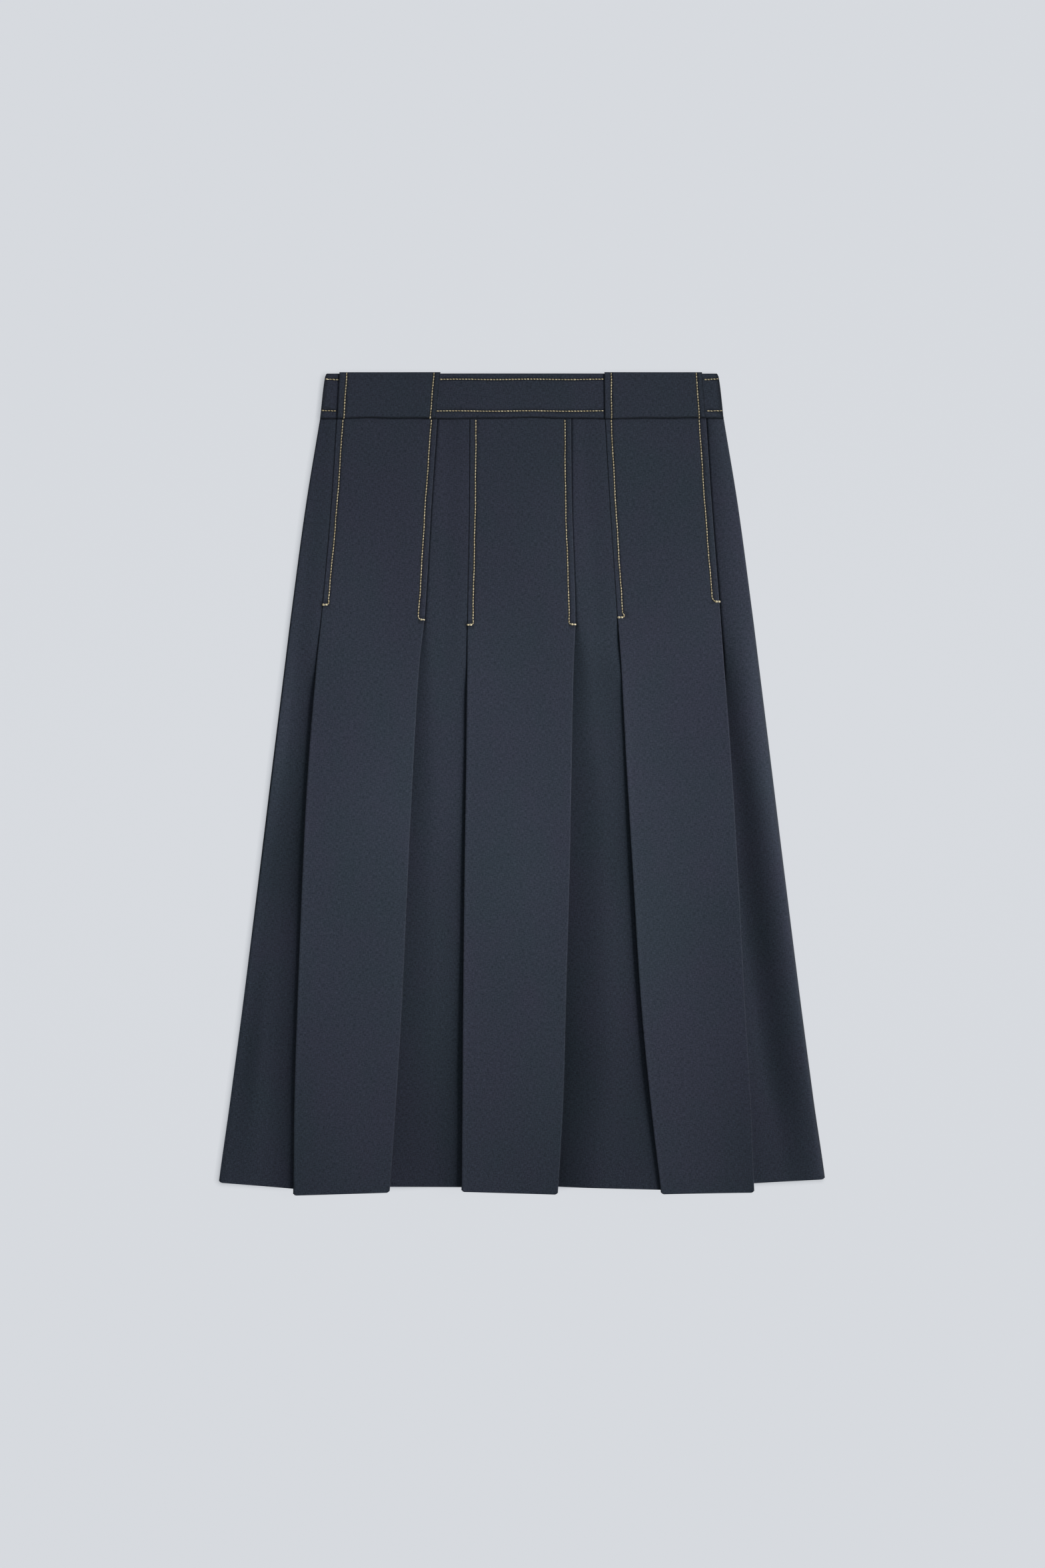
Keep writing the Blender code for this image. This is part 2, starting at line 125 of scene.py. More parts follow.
# The cloth of the two recesses: it climbs at once beside the first box, over a reach, and
# rises again towards the second.
Recess = namedtuple("Recess", "y climb_1 reach_1 rise_1 climb_2 reach_2 rise_2")
RECESS = [
    Recess(356.0, 0.7, 2.4, 0.0, 0.7, 2.4, 0.0),
    Recess(170.0, 0.7, 2.4, 0.0, 0.7, 2.4, 0.0),
    Recess(114.0, 1.4, 12.0, 0.2, 2.2, 16.0, 1.8),
    Recess(49.0, 2.2, 20.0, 0.8, 2.6, 22.0, 3.4),
    Recess(-16.0, 3.0, 26.0, 0.4, 3.9, 34.0, 3.4),
    Recess(-81.0, 2.5, 26.0, 2.4, 4.2, 36.0, 3.6),
    Recess(-146.0, 2.6, 30.0, 3.0, 5.6, 42.0, 2.8),
    Recess(-211.0, 2.9, 34.0, 3.8, 6.4, 45.0, 3.0),
    Recess(-276.0, 2.5, 34.0, 4.8, 7.8, 48.0, 2.9),
    Recess(-341.0, 2.0, 34.0, 5.2, 6.8, 44.0, 3.0),
    Recess(-393.0, 1.6, 34.0, 5.4, 6.6, 44.0, 3.0),
]

# The left panel: its height at the side seam, its swell, and its rise to the first box,
# which bends up late where bend is large.
LeftSide = namedtuple("LeftSide", "y seam swell rise bend")
LEFT_SIDE = [
    LeftSide(356.0, 0.0, 0.0, 0.0, 3.0),
    LeftSide(170.0, 0.3, 0.0, 0.0, 3.0),
    LeftSide(114.0, 0.5, 0.0, 1.3, 3.0),
    LeftSide(49.0, 0.7, 0.0, 2.8, 2.4),
    LeftSide(-16.0, 0.7, 0.3, 4.9, 1.9),
    LeftSide(-81.0, 0.4, 0.8, 6.5, 1.9),
    LeftSide(-146.0, 0.2, 0.8, 6.2, 2.0),
    LeftSide(-211.0, 0.0, 1.6, 5.4, 2.3),
    LeftSide(-276.0, 0.0, 2.8, 4.4, 3.1),
    LeftSide(-341.0, 0.0, 1.8, 3.6, 4.2),
    LeftSide(-393.0, 0.0, 0.6, 3.0, 4.8),
]

# The right panel's ridge: its height, and how far its crest and its foot lie from the
# side seam.  A puff of 1 starts steeply at the foot, a puff of 0 starts softly.
RightSide = namedtuple("RightSide", "y high crest foot puff")
RIGHT_SIDE = [
    RightSide(356.0, 0.5, 8.0, 16.0, 1.0),
    RightSide(170.0, 1.4, 12.0, 31.0, 1.0),
    RightSide(114.0, 3.4, 13.0, 34.0, 1.0),
    RightSide(49.0, 4.4, 13.0, 37.0, 0.8),
    RightSide(-16.0, 6.2, 10.5, 41.0, 0.35),
    RightSide(-81.0, 7.2, 8.0, 45.0, 0.3),
    RightSide(-146.0, 7.0, 7.0, 46.0, 0.2),
    RightSide(-211.0, 6.6, 5.5, 46.0, 0.1),
    RightSide(-276.0, 6.0, 5.0, 46.0, 0.0),
    RightSide(-341.0, 3.0, 5.5, 42.0, 0.0),
    RightSide(-393.0, 1.4, 8.0, 38.0, 0.0),
]
print("highest fold in mm:", max(max(row[1:]) for row in LOFT))


# %% [markdown]
# ## Smooth tables
#
# A table has one row for each Y where its values were set.  Between rows they follow
# a cubic curve, so edges bend softly, as cloth does, and never in straight pieces.

# %% Curves through the tables
def smooth(t):
    """0 below 0, 1 above 1, and an even curve between."""
    t = min(max(t, 0.0), 1.0)
    return t * t * (3.0 - 2.0 * t)


def mix(a, b, t):
    return a + (b - a) * t


def row_at(rows, y):
    """A row for any y, each column a smooth curve through the table's rows."""
    y = min(max(y, rows[-1].y), rows[0].y)
    k = next(i for i in range(len(rows) - 1) if y >= rows[i + 1].y)
    last = len(rows) - 1
    y0, y1 = rows[k].y, rows[k + 1].y
    t = (y - y0) / (y1 - y0)
    values = []
    for column in range(len(rows[0])):
        v0, v1 = rows[k][column], rows[k + 1][column]
        before, after = rows[max(k - 1, 0)], rows[min(k + 2, last)]
        slope0 = (v1 - before[column]) / (y1 - before.y) * (y1 - y0)
        slope1 = (after[column] - v0) / (after.y - y0) * (y1 - y0)
        values.append((2 * t**3 - 3 * t**2 + 1) * v0 + (t**3 - 2 * t**2 + t) * slope0
                      + (3 * t**2 - 2 * t**3) * v1 + (t**3 - t**2) * slope1)
    return type(rows[0])(*values)


# %% [markdown]
# ## What lies beneath
#
# The skirt lies on a table, the front on the back.  The closed zip in the back seam raises
# what lies over it a little, and no wool lies dead flat: long, shallow waves run through
# all its layers.  One function gives both, so every layer above follows the same ground.

# %% The ground that the front lies on
HUMP = 1.0               # how far the zip raises what lies over it
HUMP_TOP = 30.0          # half the width of the hump's top
HUMP_SIDE = 120.0        # width of each of its sides
HUMP_END = 110.0         # how far past the zip's end it reaches
HUMP_RISE = 95.0         # length over which it rises from there
WAVES_FROM = 60.0        # below the waist seam the waves grow over this length
TIGHT = 0.03             # gap between the layers that the topstitching holds together
LOOSEN = 100.0           # below the stitching they come apart over this length
Wave = namedtuple("Wave", "high along_x along_y shift")
WAVES = [                # long waves: height in mm, and radians per mm along X and Y
    Wave(0.20, 0.021, 0.034, 0.4),
    Wave(0.16, -0.037, 0.025, 2.1),
    Wave(0.12, 0.055, 0.012, 4.0),
    Wave(0.07, 0.016, -0.081, 1.3),
]


def ground(x, y):
    """How far the zip and the long waves raise the front at a place."""
    across = 1.0 - smooth((abs(x) - HUMP_TOP) / HUMP_SIDE)
    along = smooth((y - ZIP_END + HUMP_END) / HUMP_RISE)
    waves = sum(w.high * math.sin(w.along_x * x + w.along_y * y + w.shift) for w in WAVES)
    return HUMP * across * along + waves * smooth((WAIST_SEAM - y) / WAVES_FROM)


def ply(y):
    """Distance from one layer to the next: tight in the stitching, loose below it."""
    return mix(WOOL + TIGHT, WALL + GAP, smooth((STITCH_END - y) / LOOSEN))


def layer_mid(n, y):
    """Height of the middle of the front's layer n where the cloth is ironed flat."""
    return WALL + GAP + WOOL / 2 + n * ply(y)


print("waves in mm:", [w.high for w in WAVES])


# %% [markdown]
# ## Where the topstitching runs
#
# Six lines of topstitching hold the pleats down, each about 6 mm from its pleat's edge.
# Each one ends in a corner, where it turns out to the edge in a short, heavy bar.  The
# cloth dips into a small groove along them, and shade is painted along that groove, so
# the lines are settled before the cloth is made.

# %% Where each line turns and ends
# A line's distance from its edge at the waist and at its end, its corner, and its bar's end.
Line = namedtuple("Line", "at_waist at_end corner bar_end")
LINES = {
    "left_a": Line(5.9, 5.2, (-188.0, 176.6), (-195.0, 174.5)),
    "left_b": Line(5.9, 6.4, (-100.9, 162.2), (-94.5, 159.9)),
    "centre_a": Line(5.9, 5.2, (-47.1, 157.1), (-53.9, 154.9)),
    "centre_b": Line(6.2, 6.4, (46.0, 156.6), (53.0, 155.3)),
    "right_a": Line(5.7, 5.2, (100.2, 164.2), (93.0, 162.1)),
    "right_b": Line(7.0, 6.9, (186.8, 179.2), (193.7, 177.5)),
}
GROOVE = 0.40            # depth of the groove that the thread pulls into the cloth
GROOVE_HALF = 1.7        # half its width
GROOVE_POINTS = (-GROOVE_HALF, -0.9, 0.0, 0.9, GROOVE_HALF)
GROOVE_FADE = 4.0        # length over which it fades out at its corner
GROOVE_LEAD = 3.0        # and how far above the corner that starts


def margin(edge, y):
    """Distance of an edge's topstitching from that edge."""
    line = LINES[edge]
    down = (WAIST_SEAM - y) / (WAIST_SEAM - line.corner[1])
    return mix(line.at_waist, line.at_end, min(down, 1.0))


def groove(edge, y, off):
    """How far the cloth dips at a distance off an edge's topstitching."""
    here = 1.0 - smooth((LINES[edge].corner[1] - y + GROOVE_LEAD) / GROOVE_FADE)
    return GROOVE * here * (1.0 - smooth(abs(off) / GROOVE_HALF))


print("groove's depth half-way down a line, in mm:", groove("left_a", 260.0, 0.0))


# %% The lines along the pleats
LINE_START = 1.0         # how far below the waist seam a line starts
LINE_TURN = 2.0          # how far above its corner its long run ends
PATH_STEPS = 28
KNEE = (0.22, 0.95)      # how far out and down to its end a bar's knee lies
Ripple = namedtuple("Ripple", "high rate shift")


def waver(place, ripples):
    """How far a line strays from its course at a place along it, in mm."""
    return sum(r.high * math.sin(r.rate * place + r.shift) for r in ripples)


def pleat_path(edge):
    """(x, y) down an edge's topstitching, from the waist to its corner."""
    side = 1 if edge.endswith("_a") else -1
    corner = LINES[edge].corner
    ripples = (Ripple(0.16, 0.11, corner[0]), Ripple(0.1, 0.31, 0.0))
    points = []
    for k in range(PATH_STEPS + 1):
        y = mix(WAIST_SEAM - LINE_START, corner[1] + LINE_TURN, k / PATH_STEPS)
        course = getattr(row_at(OUTLINE, y), edge) + side * margin(edge, y)
        points.append((course + waver(y, ripples), y))
    return points + [corner]


def bar_path(edge):
    """(x, y) from an edge's corner, down a short knee and out to the pleat's edge."""
    corner, end = LINES[edge].corner, LINES[edge].bar_end
    return [corner, tuple(mix(c, e, k) for c, e, k in zip(corner, end, KNEE)), end]


pleat_lines = [pleat_path(edge) + bar_path(edge)[1:] for edge in LINES]
print("lines of topstitching:", len(pleat_lines))


# %% The line of painted shade along the waist seam
SEAM_RIPPLES = (Ripple(0.42, 0.043, 1.2), Ripple(0.24, 0.117, 0.5))
SEAM_SHADE_ABOVE = 0.4          # the shade painted along the seam is darkest this far above it
SEAM_EASE = 5.0          # what is sewn into the seam wavers with it up to this far above


def seam_waver(x, above=0.0):
    """How far the seam, or the cloth a little above it, strays up or down at x."""
    return waver(x, SEAM_RIPPLES) * (1 - smooth(above / SEAM_EASE))


# The line along the waist seam where shade is painted on the cloth.
seam_shade_line = [(x, WAIST_SEAM + SEAM_SHADE_ABOVE + seam_waver(x)) for x in range(-200, 201, 10)]
print("points along the seam:", len(seam_shade_line))


# %% [markdown]
# ## Folding the front
#
# The front is one cloth.  At each box it runs in under the box, turns, runs back out to
# the box's edge, and turns again to become the box's face: three layers in a stack.
# One cross-section is a line of points; many of them in a row, from waist to hem, make
# the sheet.  The points lie close together where the cloth turns and further apart where
# it is flat, so the folds stay round without spending faces on the plain stretches.

# %% A pleat's folds
CREASE = 0.56            # distance between the two layers at a pressed edge
CORNER = 1.6             # how much a hem rounds off at a fold's edge
SETTLE = 1.6             # how fast the folds under a box come down to lie flat
RUN_IN = (0.0, 0.12, 0.3, 0.6)     # places on the way in under the box, by its reach
RUN_OUT = (0.7, 0.4, 0.2, 0.08)    # and on the way back out


def half_turn(x, z_low, z_high, side, hem, steps):
    """The cloth turning back on itself at x, bulging towards side (-1 left, +1 right)."""
    radius = (z_high - z_low) / 2
    middle = (z_high + z_low) / 2
    reach = radius + WOOL / 2
    angles = [math.pi * (step / steps - 0.5) for step in range(steps + 1)]
    return [(x + side * (radius * math.cos(a) - reach), middle + radius * math.sin(a), hem)
            for a in angles]


def fold_under(y, edge, inward, width, rise, lift, recess_hem, box_hem):
    """One side of a box, from the recess to the box's face."""
    depth = PLEAT_DEPTH * width
    low, between, top = (layer_mid(n, y) for n in range(3))
    points = [(edge + inward * depth * s, low + rise * (1 - s)**SETTLE, recess_hem)
              for s in RUN_IN]
    points += half_turn(edge + inward * depth, low, between, inward, recess_hem, 4)
    under = max(top + lift - CREASE - between, rise)
    points += [(edge + inward * depth * s, between + under * (1 - s)**SETTLE,
                mix(box_hem, recess_hem, s)) for s in RUN_OUT]
    points += half_turn(edge, top + lift - CREASE, top + lift, -inward, box_hem + CORNER, 6)
    return points


print("pleat's inner reach in mm:", round(PLEAT_DEPTH * 100, 1), "for 100 mm of width")


# %% A box's face
FACE_STEPS = 16
FACE_BEND = (1.2, 1.3, 1.8)        # how soon each face comes down from its left edge
SAG = (-0.6, 0.0, 0.8)             # how far each sags in its middle; below 0 it bulges
LIP = 0.35               # how far a sprung edge stands above the face beside it
LIP_REACH = 5.0          # and how far in from the edge
SPRING = 60.0            # below the stitching a box springs open over this length
NEAR_EDGE = (1.4, 2.8)   # places beside a pleat's edge, in mm from it
CLEAR = 3.0              # the plain stretch starts this far from a topstitching
SOFT_CORNER = 0.35       # how much of a corner's rounding is left just inside the edge
CORNER_WIDE = 2.0        # and how far in that is


def across_pleat(width, first, last):
    """Places across a pleat, close together at its edges and along its topstitching."""
    places = [*NEAR_EDGE] + [first + off for off in GROOVE_POINTS]
    places += [mix(first + CLEAR, width - last - CLEAR, k / FACE_STEPS)
               for k in range(FACE_STEPS + 1)]
    places += [width - last + off for off in GROOVE_POINTS]
    return places + [width - off for off in reversed(NEAR_EDGE)]


def box_face(y, box, a, b, lift_a, lift_b, hem):
    """The face of a box between its two edges."""
    width = b - a
    first, last = margin(box + "_a", y), margin(box + "_b", y)
    sprung = smooth((STITCH_END - y) / SPRING)
    k = BOXES.index(box)
    points = []
    for distance in across_pleat(width, first, last):
        share = distance / width
        z = layer_mid(2, y) + mix(lift_b, lift_a, (1 - share)**FACE_BEND[k])
        z -= SAG[k] * sprung * 4 * share * (1 - share)
        z -= groove(box + "_a", y, distance - first)
        z -= groove(box + "_b", y, width - distance - last)
        z += LIP * sprung * max(0.0, 1 - distance / LIP_REACH)**2
        at_edge = min(distance, width - distance) < CORNER_WIDE
        corner = CORNER * SOFT_CORNER if at_edge else 0.0
        points.append((a + distance, z, mix(hem.left, hem.right, share) + corner))
    return points


print("points across a face:", len(box_face(0.0, "left", 0.0, 100.0, 1, 1, BOX_HEM[0])))


# %% How the topstitching holds the cloth beside a pleat
HOLD_END = 100.0         # Y where the topstitching's hold on the cloth ends
HOLD_OVER = 60.0         # length over which it lets go
HOLD_REACH = 28.0        # how far from a pleat it is felt
LEVEL = 0.86             # how far the cloth comes up to the stitched pleat beside it
LEVEL_END = 85.0         # Y where that ends
LEVEL_OVER = 45.0        # length over which it ends
LEVEL_REACH = 26.0       # and how far from a pleat it starts


def held(y):
    """How firmly the topstitching holds the cloth down: 1 along it, 0 well below it."""
    return smooth((y - HOLD_END) / HOLD_OVER)


def tucked(y, off):
    """What is left of a height at a distance off the box that the cloth is tucked under."""
    return 1 - held(y) * max(0.0, 1 - off / HOLD_REACH)


def levelled(y, off):
    """How far the cloth comes up to the stitched pleat that it runs in under."""
    return LEVEL * smooth((y - LEVEL_END) / LEVEL_OVER) * (1 - smooth(off / LEVEL_REACH))


print("held at Y 160, 130 and 100:", [held(y) for y in (160.0, 130.0, 100.0)])


# %% The recesses
RECESS_SHARES = [0.02, 0.05, 0.09] + [k / 14 for k in range(2, 13)] + [0.92, 0.96, 0.98]
SLOT = 0.35              # how near the cloth comes up to a stitched pleat's edge
LATE = 1.8               # how late a recess rises towards the second box


def puffed(t, puff):
    """A climb from 0 to 1, steep at its start where puff is 1, soft where it is 0."""
    return mix(smooth(t), math.sin(math.pi / 2 * min(max(t, 0.0), 1.0)), puff)


def recess(y, start, end, climb, reach, rise, hem):
    """The cloth between two boxes, from the first one's edge to the second one's."""
    width = end - start
    points = []
    for share in RECESS_SHARES + [1 - SLOT / width]:
        off = (1 - share) * width
        high = climb * puffed(share * width / reach, 1.0) + rise * share**LATE
        z = layer_mid(0, y) + high * tucked(y, off) + levelled(y, off)
        points.append((mix(start, end, share), z, mix(hem.left, hem.right, share)))
    return points


print("points across a recess:", len(RECESS_SHARES) + 1)


# %% The left side panel
SIDE_SHARES = [0.0, 0.006, 0.02, 0.045, 0.08] + [k / 20 for k in range(3, 20)] + [0.98]
SEAM_DROP = 0.35         # the front comes down to the back along the side seams
DROP_OVER = 0.04         # over this share of the panel's width
CORNER_OVER = 0.03       # and its hem's corner is round over this share
SWELL_OVER = 0.45        # the left panel swells up over this share
SEAM_HIGH_OVER = 0.4     # and its seam's own height fades out over this one
SEAM_RISE = 0.4          # that height starts this far up its climb
SEAM_RISE_OVER = 0.03    # which is this long


def seam_drop(share):
    """How far the cloth lies below its layer at a share of the panel's width."""
    return SEAM_DROP * (1 - smooth(share / DROP_OVER))


def seam_corner(share):
    """How far the hem is rounded off at a share of the panel's width."""
    return CORNER * (1 - smooth(share / CORNER_OVER))


def left_panel(y, seam, edge, side):
    """The left side panel, from its seam to the first box."""
    width = edge - seam
    last = (1 - 3 * SLOT / width) / SIDE_SHARES[-1]
    points = []
    for share in [share * last for share in SIDE_SHARES] + [1 - SLOT / width]:
        off = (1 - share) * width
        z = layer_mid(0, y) - seam_drop(share) + levelled(y, off)
        held_up = smooth(share / SEAM_RISE_OVER + SEAM_RISE)
        z += side.seam * (1 - smooth(share / SEAM_HIGH_OVER)) * held_up
        high = side.swell * smooth(share / SWELL_OVER) + side.rise * share**side.bend
        z += high * tucked(y, off)
        hem = mix(SIDE_HEM[0].left, SIDE_HEM[0].right, share)
        points.append((mix(seam, edge, share), z, hem + seam_corner(share)))
    return points


print("points across a side panel:", len(SIDE_SHARES) + 1)


# %% The right side panel
SEAM_ROUND = 1.6         # over this distance the ridge rounds off to its seam
CREST_SLOPE = 0.3        # and before that it slopes down to the seam as steeply as this
CREST_FALL = 0.6         # but by no more than this share of its height
EDGE_ROUND = 2.0         # beside the box the cloth bends down over this distance


def right_panel(y, seam, edge, side):
    """The right side panel, from its seam to the last box."""
    width = seam - edge
    foot = min(side.foot, width)
    fall = min(CREST_SLOPE * side.crest / 2, CREST_FALL * side.high)
    points = []
    for share in SIDE_SHARES:
        off = share * width
        if off < side.crest:
            height = side.high - fall * (1 - off / side.crest)**2
            height *= math.sqrt(1 - (1 - min(off / SEAM_ROUND, 1.0))**2)
        else:
            height = side.high * puffed((foot - off) / (foot - side.crest), side.puff)
        z = layer_mid(0, y) - seam_drop(share) + height
        z += levelled(y, width - off) * puffed((width - off) / EDGE_ROUND, 1.0)
        hem = mix(SIDE_HEM[1].right, SIDE_HEM[1].left, share)
        points.append((seam - off, z, hem + seam_corner(share)))
    return points


print("the right panel's highest ridge in mm:", max(side.high for side in RIGHT_SIDE))


# %% One cross-section of the whole front
def front_section(y):
    """The whole front at one y: (x, z, hem) from the left side seam to the right one."""
    edges, loft, climbs = row_at(OUTLINE, y), row_at(LOFT, y), row_at(RECESS, y)
    left, right = row_at(LEFT_SIDE, y), row_at(RIGHT_SIDE, y)
    points = left_panel(y, -edges.half, edges.left_a, left)
    before = (SIDE_HEM[0].right, RECESS_HEM[0].right, RECESS_HEM[1].right)
    after = (RECESS_HEM[0].left, RECESS_HEM[1].left, SIDE_HEM[1].left)
    free = 1 - held(y)
    rises = ((left.swell + left.rise) * free, (climbs.climb_1 + climbs.rise_1) * free,
             (climbs.climb_2 + climbs.rise_2) * free)
    for k, box in enumerate(BOXES):
        a, b = getattr(edges, box + "_a"), getattr(edges, box + "_b")
        lift_a, lift_b = getattr(loft, box + "_a"), getattr(loft, box + "_b")
        points += fold_under(y, a, 1, b - a, rises[k], lift_a, before[k], BOX_HEM[k].left)
        points += box_face(y, box, a, b, lift_a, lift_b, BOX_HEM[k])
        points += reversed(fold_under(y, b, -1, b - a, 0.0, lift_b, after[k],
                                      BOX_HEM[k].right))
        if k < 2:
            points += recess(y, b, getattr(edges, BOXES[k + 1] + "_a"),
                             *climbs[1 + 3 * k:4 + 3 * k], RECESS_HEM[k])
    points += reversed(right_panel(y, edges.half, edges.right_b, right))
    return [(x, z + ground(x, y), hem) for x, z, hem in points]


print("points in a section:", len(front_section(0.0)))


# %% [markdown]
# ## From sections to cloth
#
# Every cloth here is a grid of points made into a sheet.  Solidify then gives it the
# cloth's thickness, half to each side of the line, so that it fills its solid.  The UV
# map holds the distance along the cloth in metres, so the weave follows the folds.  Shade
# is painted where a fold turns, beside each line of topstitching and along the waist
# seam, and a point attribute keeps that painted shade for the wool's finish.

# %% A helper that tells where shade is painted beside the threads and the seam
THREAD_REACH = 1.9       # how far from a thread shade is painted on the cloth, in mm
SEAM_REACH = 1.2         # and how far from the waist seam
PAINTED_SHADE_FADE = 0.8         # the last part of that reach, over which it fades


def near_lines(places, lines):
    """1 for places on one of the lines, falling to 0 at its reach."""
    share = np.zeros(len(places))
    for line in lines:
        reach = SEAM_REACH if line is seam_shade_line else THREAD_REACH
        for start, end in zip(line, line[1:]):
            run = np.subtract(end, start)
            along = np.clip((places - start) @ run / (run @ run), 0.0, 1.0)
            off = np.linalg.norm(places - start - along[:, None] * run, axis=1)
            share = np.maximum(share, np.clip((reach - off) / PAINTED_SHADE_FADE, 0.0, 1.0))
    return share


print("pressed beside a thread:", near_lines(np.array([[0.0, 1.0]]), [[(-9, 0), (9, 0)]]))


# %% A helper that lays out the UV map
def cloth_uv(points, faces):
    """Distances across and down the cloth, in metres, for every corner of its faces."""
    rows, columns = points.shape[:2]
    across = np.linalg.norm(np.diff(points, axis=1), axis=2)
    along = np.linalg.norm(np.diff(points, axis=0), axis=2)
    u = np.concatenate([np.zeros((rows, 1)), np.cumsum(across, axis=1)], axis=1)
    u -= u[:, columns // 2][:, None]
    v = np.concatenate([np.zeros((1, columns)), np.cumsum(along, axis=0)], axis=0)
    return np.stack([u, -v], -1).reshape(-1, 2)[faces.reshape(-1)]


square = np.array([[(0, 0, 0), (1, 0, 0)], [(0, 1, 0), (1, 1, 0)]], float)
print("UV of a square metre:", cloth_uv(square, np.array([0, 2, 3, 1])).tolist())


# %% Helpers that thicken a cloth and mark where shade is painted on it
FLAT_NORMAL = 0.2        # a wall whose normal lies further along X than this is a fold's
FOLD_NORMAL = 0.45       # and how much further it lies where the fold's painted shade is full
SHARP = math.radians(50)  # faces that meet at more than this keep a sharp edge


def thicken(piece, thickness):
    """Gives a cloth its wall, half to each side, with all its faces outwards."""
    bpy.context.view_layer.objects.active = piece
    piece.select_set(True)
    wall = piece.modifiers.new("wall", "SOLIDIFY")
    wall.thickness = thickness * MM
    wall.offset = 0.0
    wall.use_even_offset = True
    bpy.ops.object.modifier_apply(modifier=wall.name)
    bpy.ops.object.mode_set(mode="EDIT")
    bpy.ops.mesh.select_all(action="SELECT")
    bpy.ops.mesh.normals_make_consistent(inside=False)
    bpy.ops.object.mode_set(mode="OBJECT")
    bpy.ops.object.shade_smooth_by_angle(angle=SHARP)
    piece.select_set(False)


def mark_painted_shade(mesh, lines):
    """Writes where shade is painted, as a point attribute: 1 at folds and on the lines, 0 on
    plain cloth.
    """
    normals = np.empty(3 * len(mesh.vertices), np.float32)
    mesh.vertices.foreach_get("normal", normals)
    steep = np.clip((np.abs(normals[::3]) - FLAT_NORMAL) / FOLD_NORMAL, 0.0, 1.0)
    places = np.array([v.co[:2] for v in mesh.vertices]) / MM
    painted_shade = mesh.attributes.new("painted_shade", "FLOAT", "POINT")
    painted_shade.data.foreach_set("value", np.maximum(steep, near_lines(places, lines)))


print("edges stay sharp above, in degrees:", round(math.degrees(SHARP)))


# %% A helper that makes a cloth from a grid of points
def make_cloth(name, grid, thickness=WOOL, lines=()):
    """A shell of the given thickness through grid[row][column] = (x, y, z), in mm."""
    points = np.array(grid, float) * MM
    rows, columns = points.shape[:2]
    index = np.arange(rows * columns).reshape(rows, columns)
    faces = np.stack([index[:-1, :-1], index[1:, :-1], index[1:, 1:], index[:-1, 1:]], -1)
    mesh = bpy.data.meshes.new(name)
    mesh.from_pydata(points.reshape(-1, 3).tolist(), [], faces.reshape(-1, 4).tolist())
    layer = mesh.uv_layers.new(name="cloth")
    layer.data.foreach_set("uv", cloth_uv(points, faces).astype(np.float32).ravel())
    piece = bpy.data.objects.new(name, mesh)
    bpy.context.scene.collection.objects.link(piece)
    thicken(piece, thickness)
    mark_painted_shade(piece.data, lines)
    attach(piece, "root")
    triangles = sum(len(p.vertices) - 2 for p in piece.data.polygons)
    print(f"{name}: {triangles} triangles")
    return piece


# %% The front
ROW_STEP = 5.0           # distance between sections, in mm
TUCK = 1.6               # the skirt's top edge runs this far in under the waistband
SEAM_ROW = 1.3           # one more section lies this far below the waist seam
row_count = int((WAIST_SEAM - HEM) / ROW_STEP)
heights = [WAIST_SEAM + TUCK, WAIST_SEAM, WAIST_SEAM - SEAM_ROW]
heights += [mix(WAIST_SEAM, HEM, k / row_count) for k in range(1, row_count + 1)]
grid = []
for y in heights:
    to_hem = 1 - smooth((y - HEM) / HEM_REACH)
    grid.append([(x, y + (hem - HEM) * to_hem, z) for x, z, hem in front_section(y)])
front = make_cloth("front_cloth", grid, lines=pleat_lines + [seam_shade_line])
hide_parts("front_skirt")


# %% [markdown]
# ## The back
#
# The back is two plain panels that lie flat on the table, sewn together down the centre.
# Nothing of them shows but their side edges and hems, so they get few points.  They run up
# inside the waistband, as seam allowances do, which also keeps the seam closed to light.

# %% The back panels
BACK_COLUMNS = 24
backs = []
for name, side in (("back_left", -1), ("back_right", 1)):
    hem_side = BACK_HEM_SIDE[0] if side < 0 else BACK_HEM_SIDE[1]
    grid = []
    for y in heights[::2] + [HEM]:
        outer = row_at(OUTLINE, y).half - GAP
        to_hem = 1 - smooth((y - HEM) / HEM_REACH)
        row = []
        for column in range(BACK_COLUMNS + 1):
            share = column / BACK_COLUMNS
            hem = mix(BACK_HEM_CENTRE, hem_side, share * share)
            row.append((side * mix(GAP / 4, outer, share), y + (hem - HEM) * to_hem, WALL / 2))
        grid.append(row if side > 0 else row[::-1])
    back = make_cloth(name + "_cloth", grid, WALL)
    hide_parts(name)
    backs.append(back)


# %% [markdown]
# ## The waistband
#
# The waistband is one strip folded lengthwise, so its top edge is a soft round fold and
# its two layers hold the top of the skirt between them.  A section across the strip goes
# up the inside, over the top and down the outside, and its last millimetres turn in
# towards the seam.  Two rows of topstitching will run along it, so it has grooves too.

# %% The band's section
Band = namedtuple("Band", "y half")
BAND_ROWS = [
    Band(BAND_TOP, 189.4),
    Band(398.6, 190.9),
    Band(395.3, 192.0),
    Band(383.6, 193.7),
    Band(WAIST_SEAM, 196.6),
]
BAND_LAYER = 0.7         # thickness of each of the band's two layers
BandLine = namedtuple("BandLine", "x0 y0 x1 y1")
BAND_LINES = [           # the ends of each row of topstitching that shows
    BandLine(-80.2, 393.9, 79.9, 393.9),
    BandLine(-83.6, 363.1, 79.9, 363.1),
    BandLine(-191.6, 394.3, -178.6, 393.6),
    BandLine(-195.4, 363.7, -181.0, 363.3),
    BandLine(177.4, 393.6, 191.7, 394.6),
    BandLine(180.1, 363.2, 195.4, 363.5),
]
ROW_TOP = 393.9          # Y of the upper rows' groove
ROW_BOTTOM = 363.3       # and of the lower ones'
BAND_EDGE = WAIST_SEAM + 0.35
BAND_DIP = 0.7           # how far the band's outer layer turns in at the seam
BAND_DIP_OVER = 1.6      # and over what length
BAND_STOPS = (3.6, 1.6, 0.9, 0.4, 0.0)    # its last points, in mm above its edge
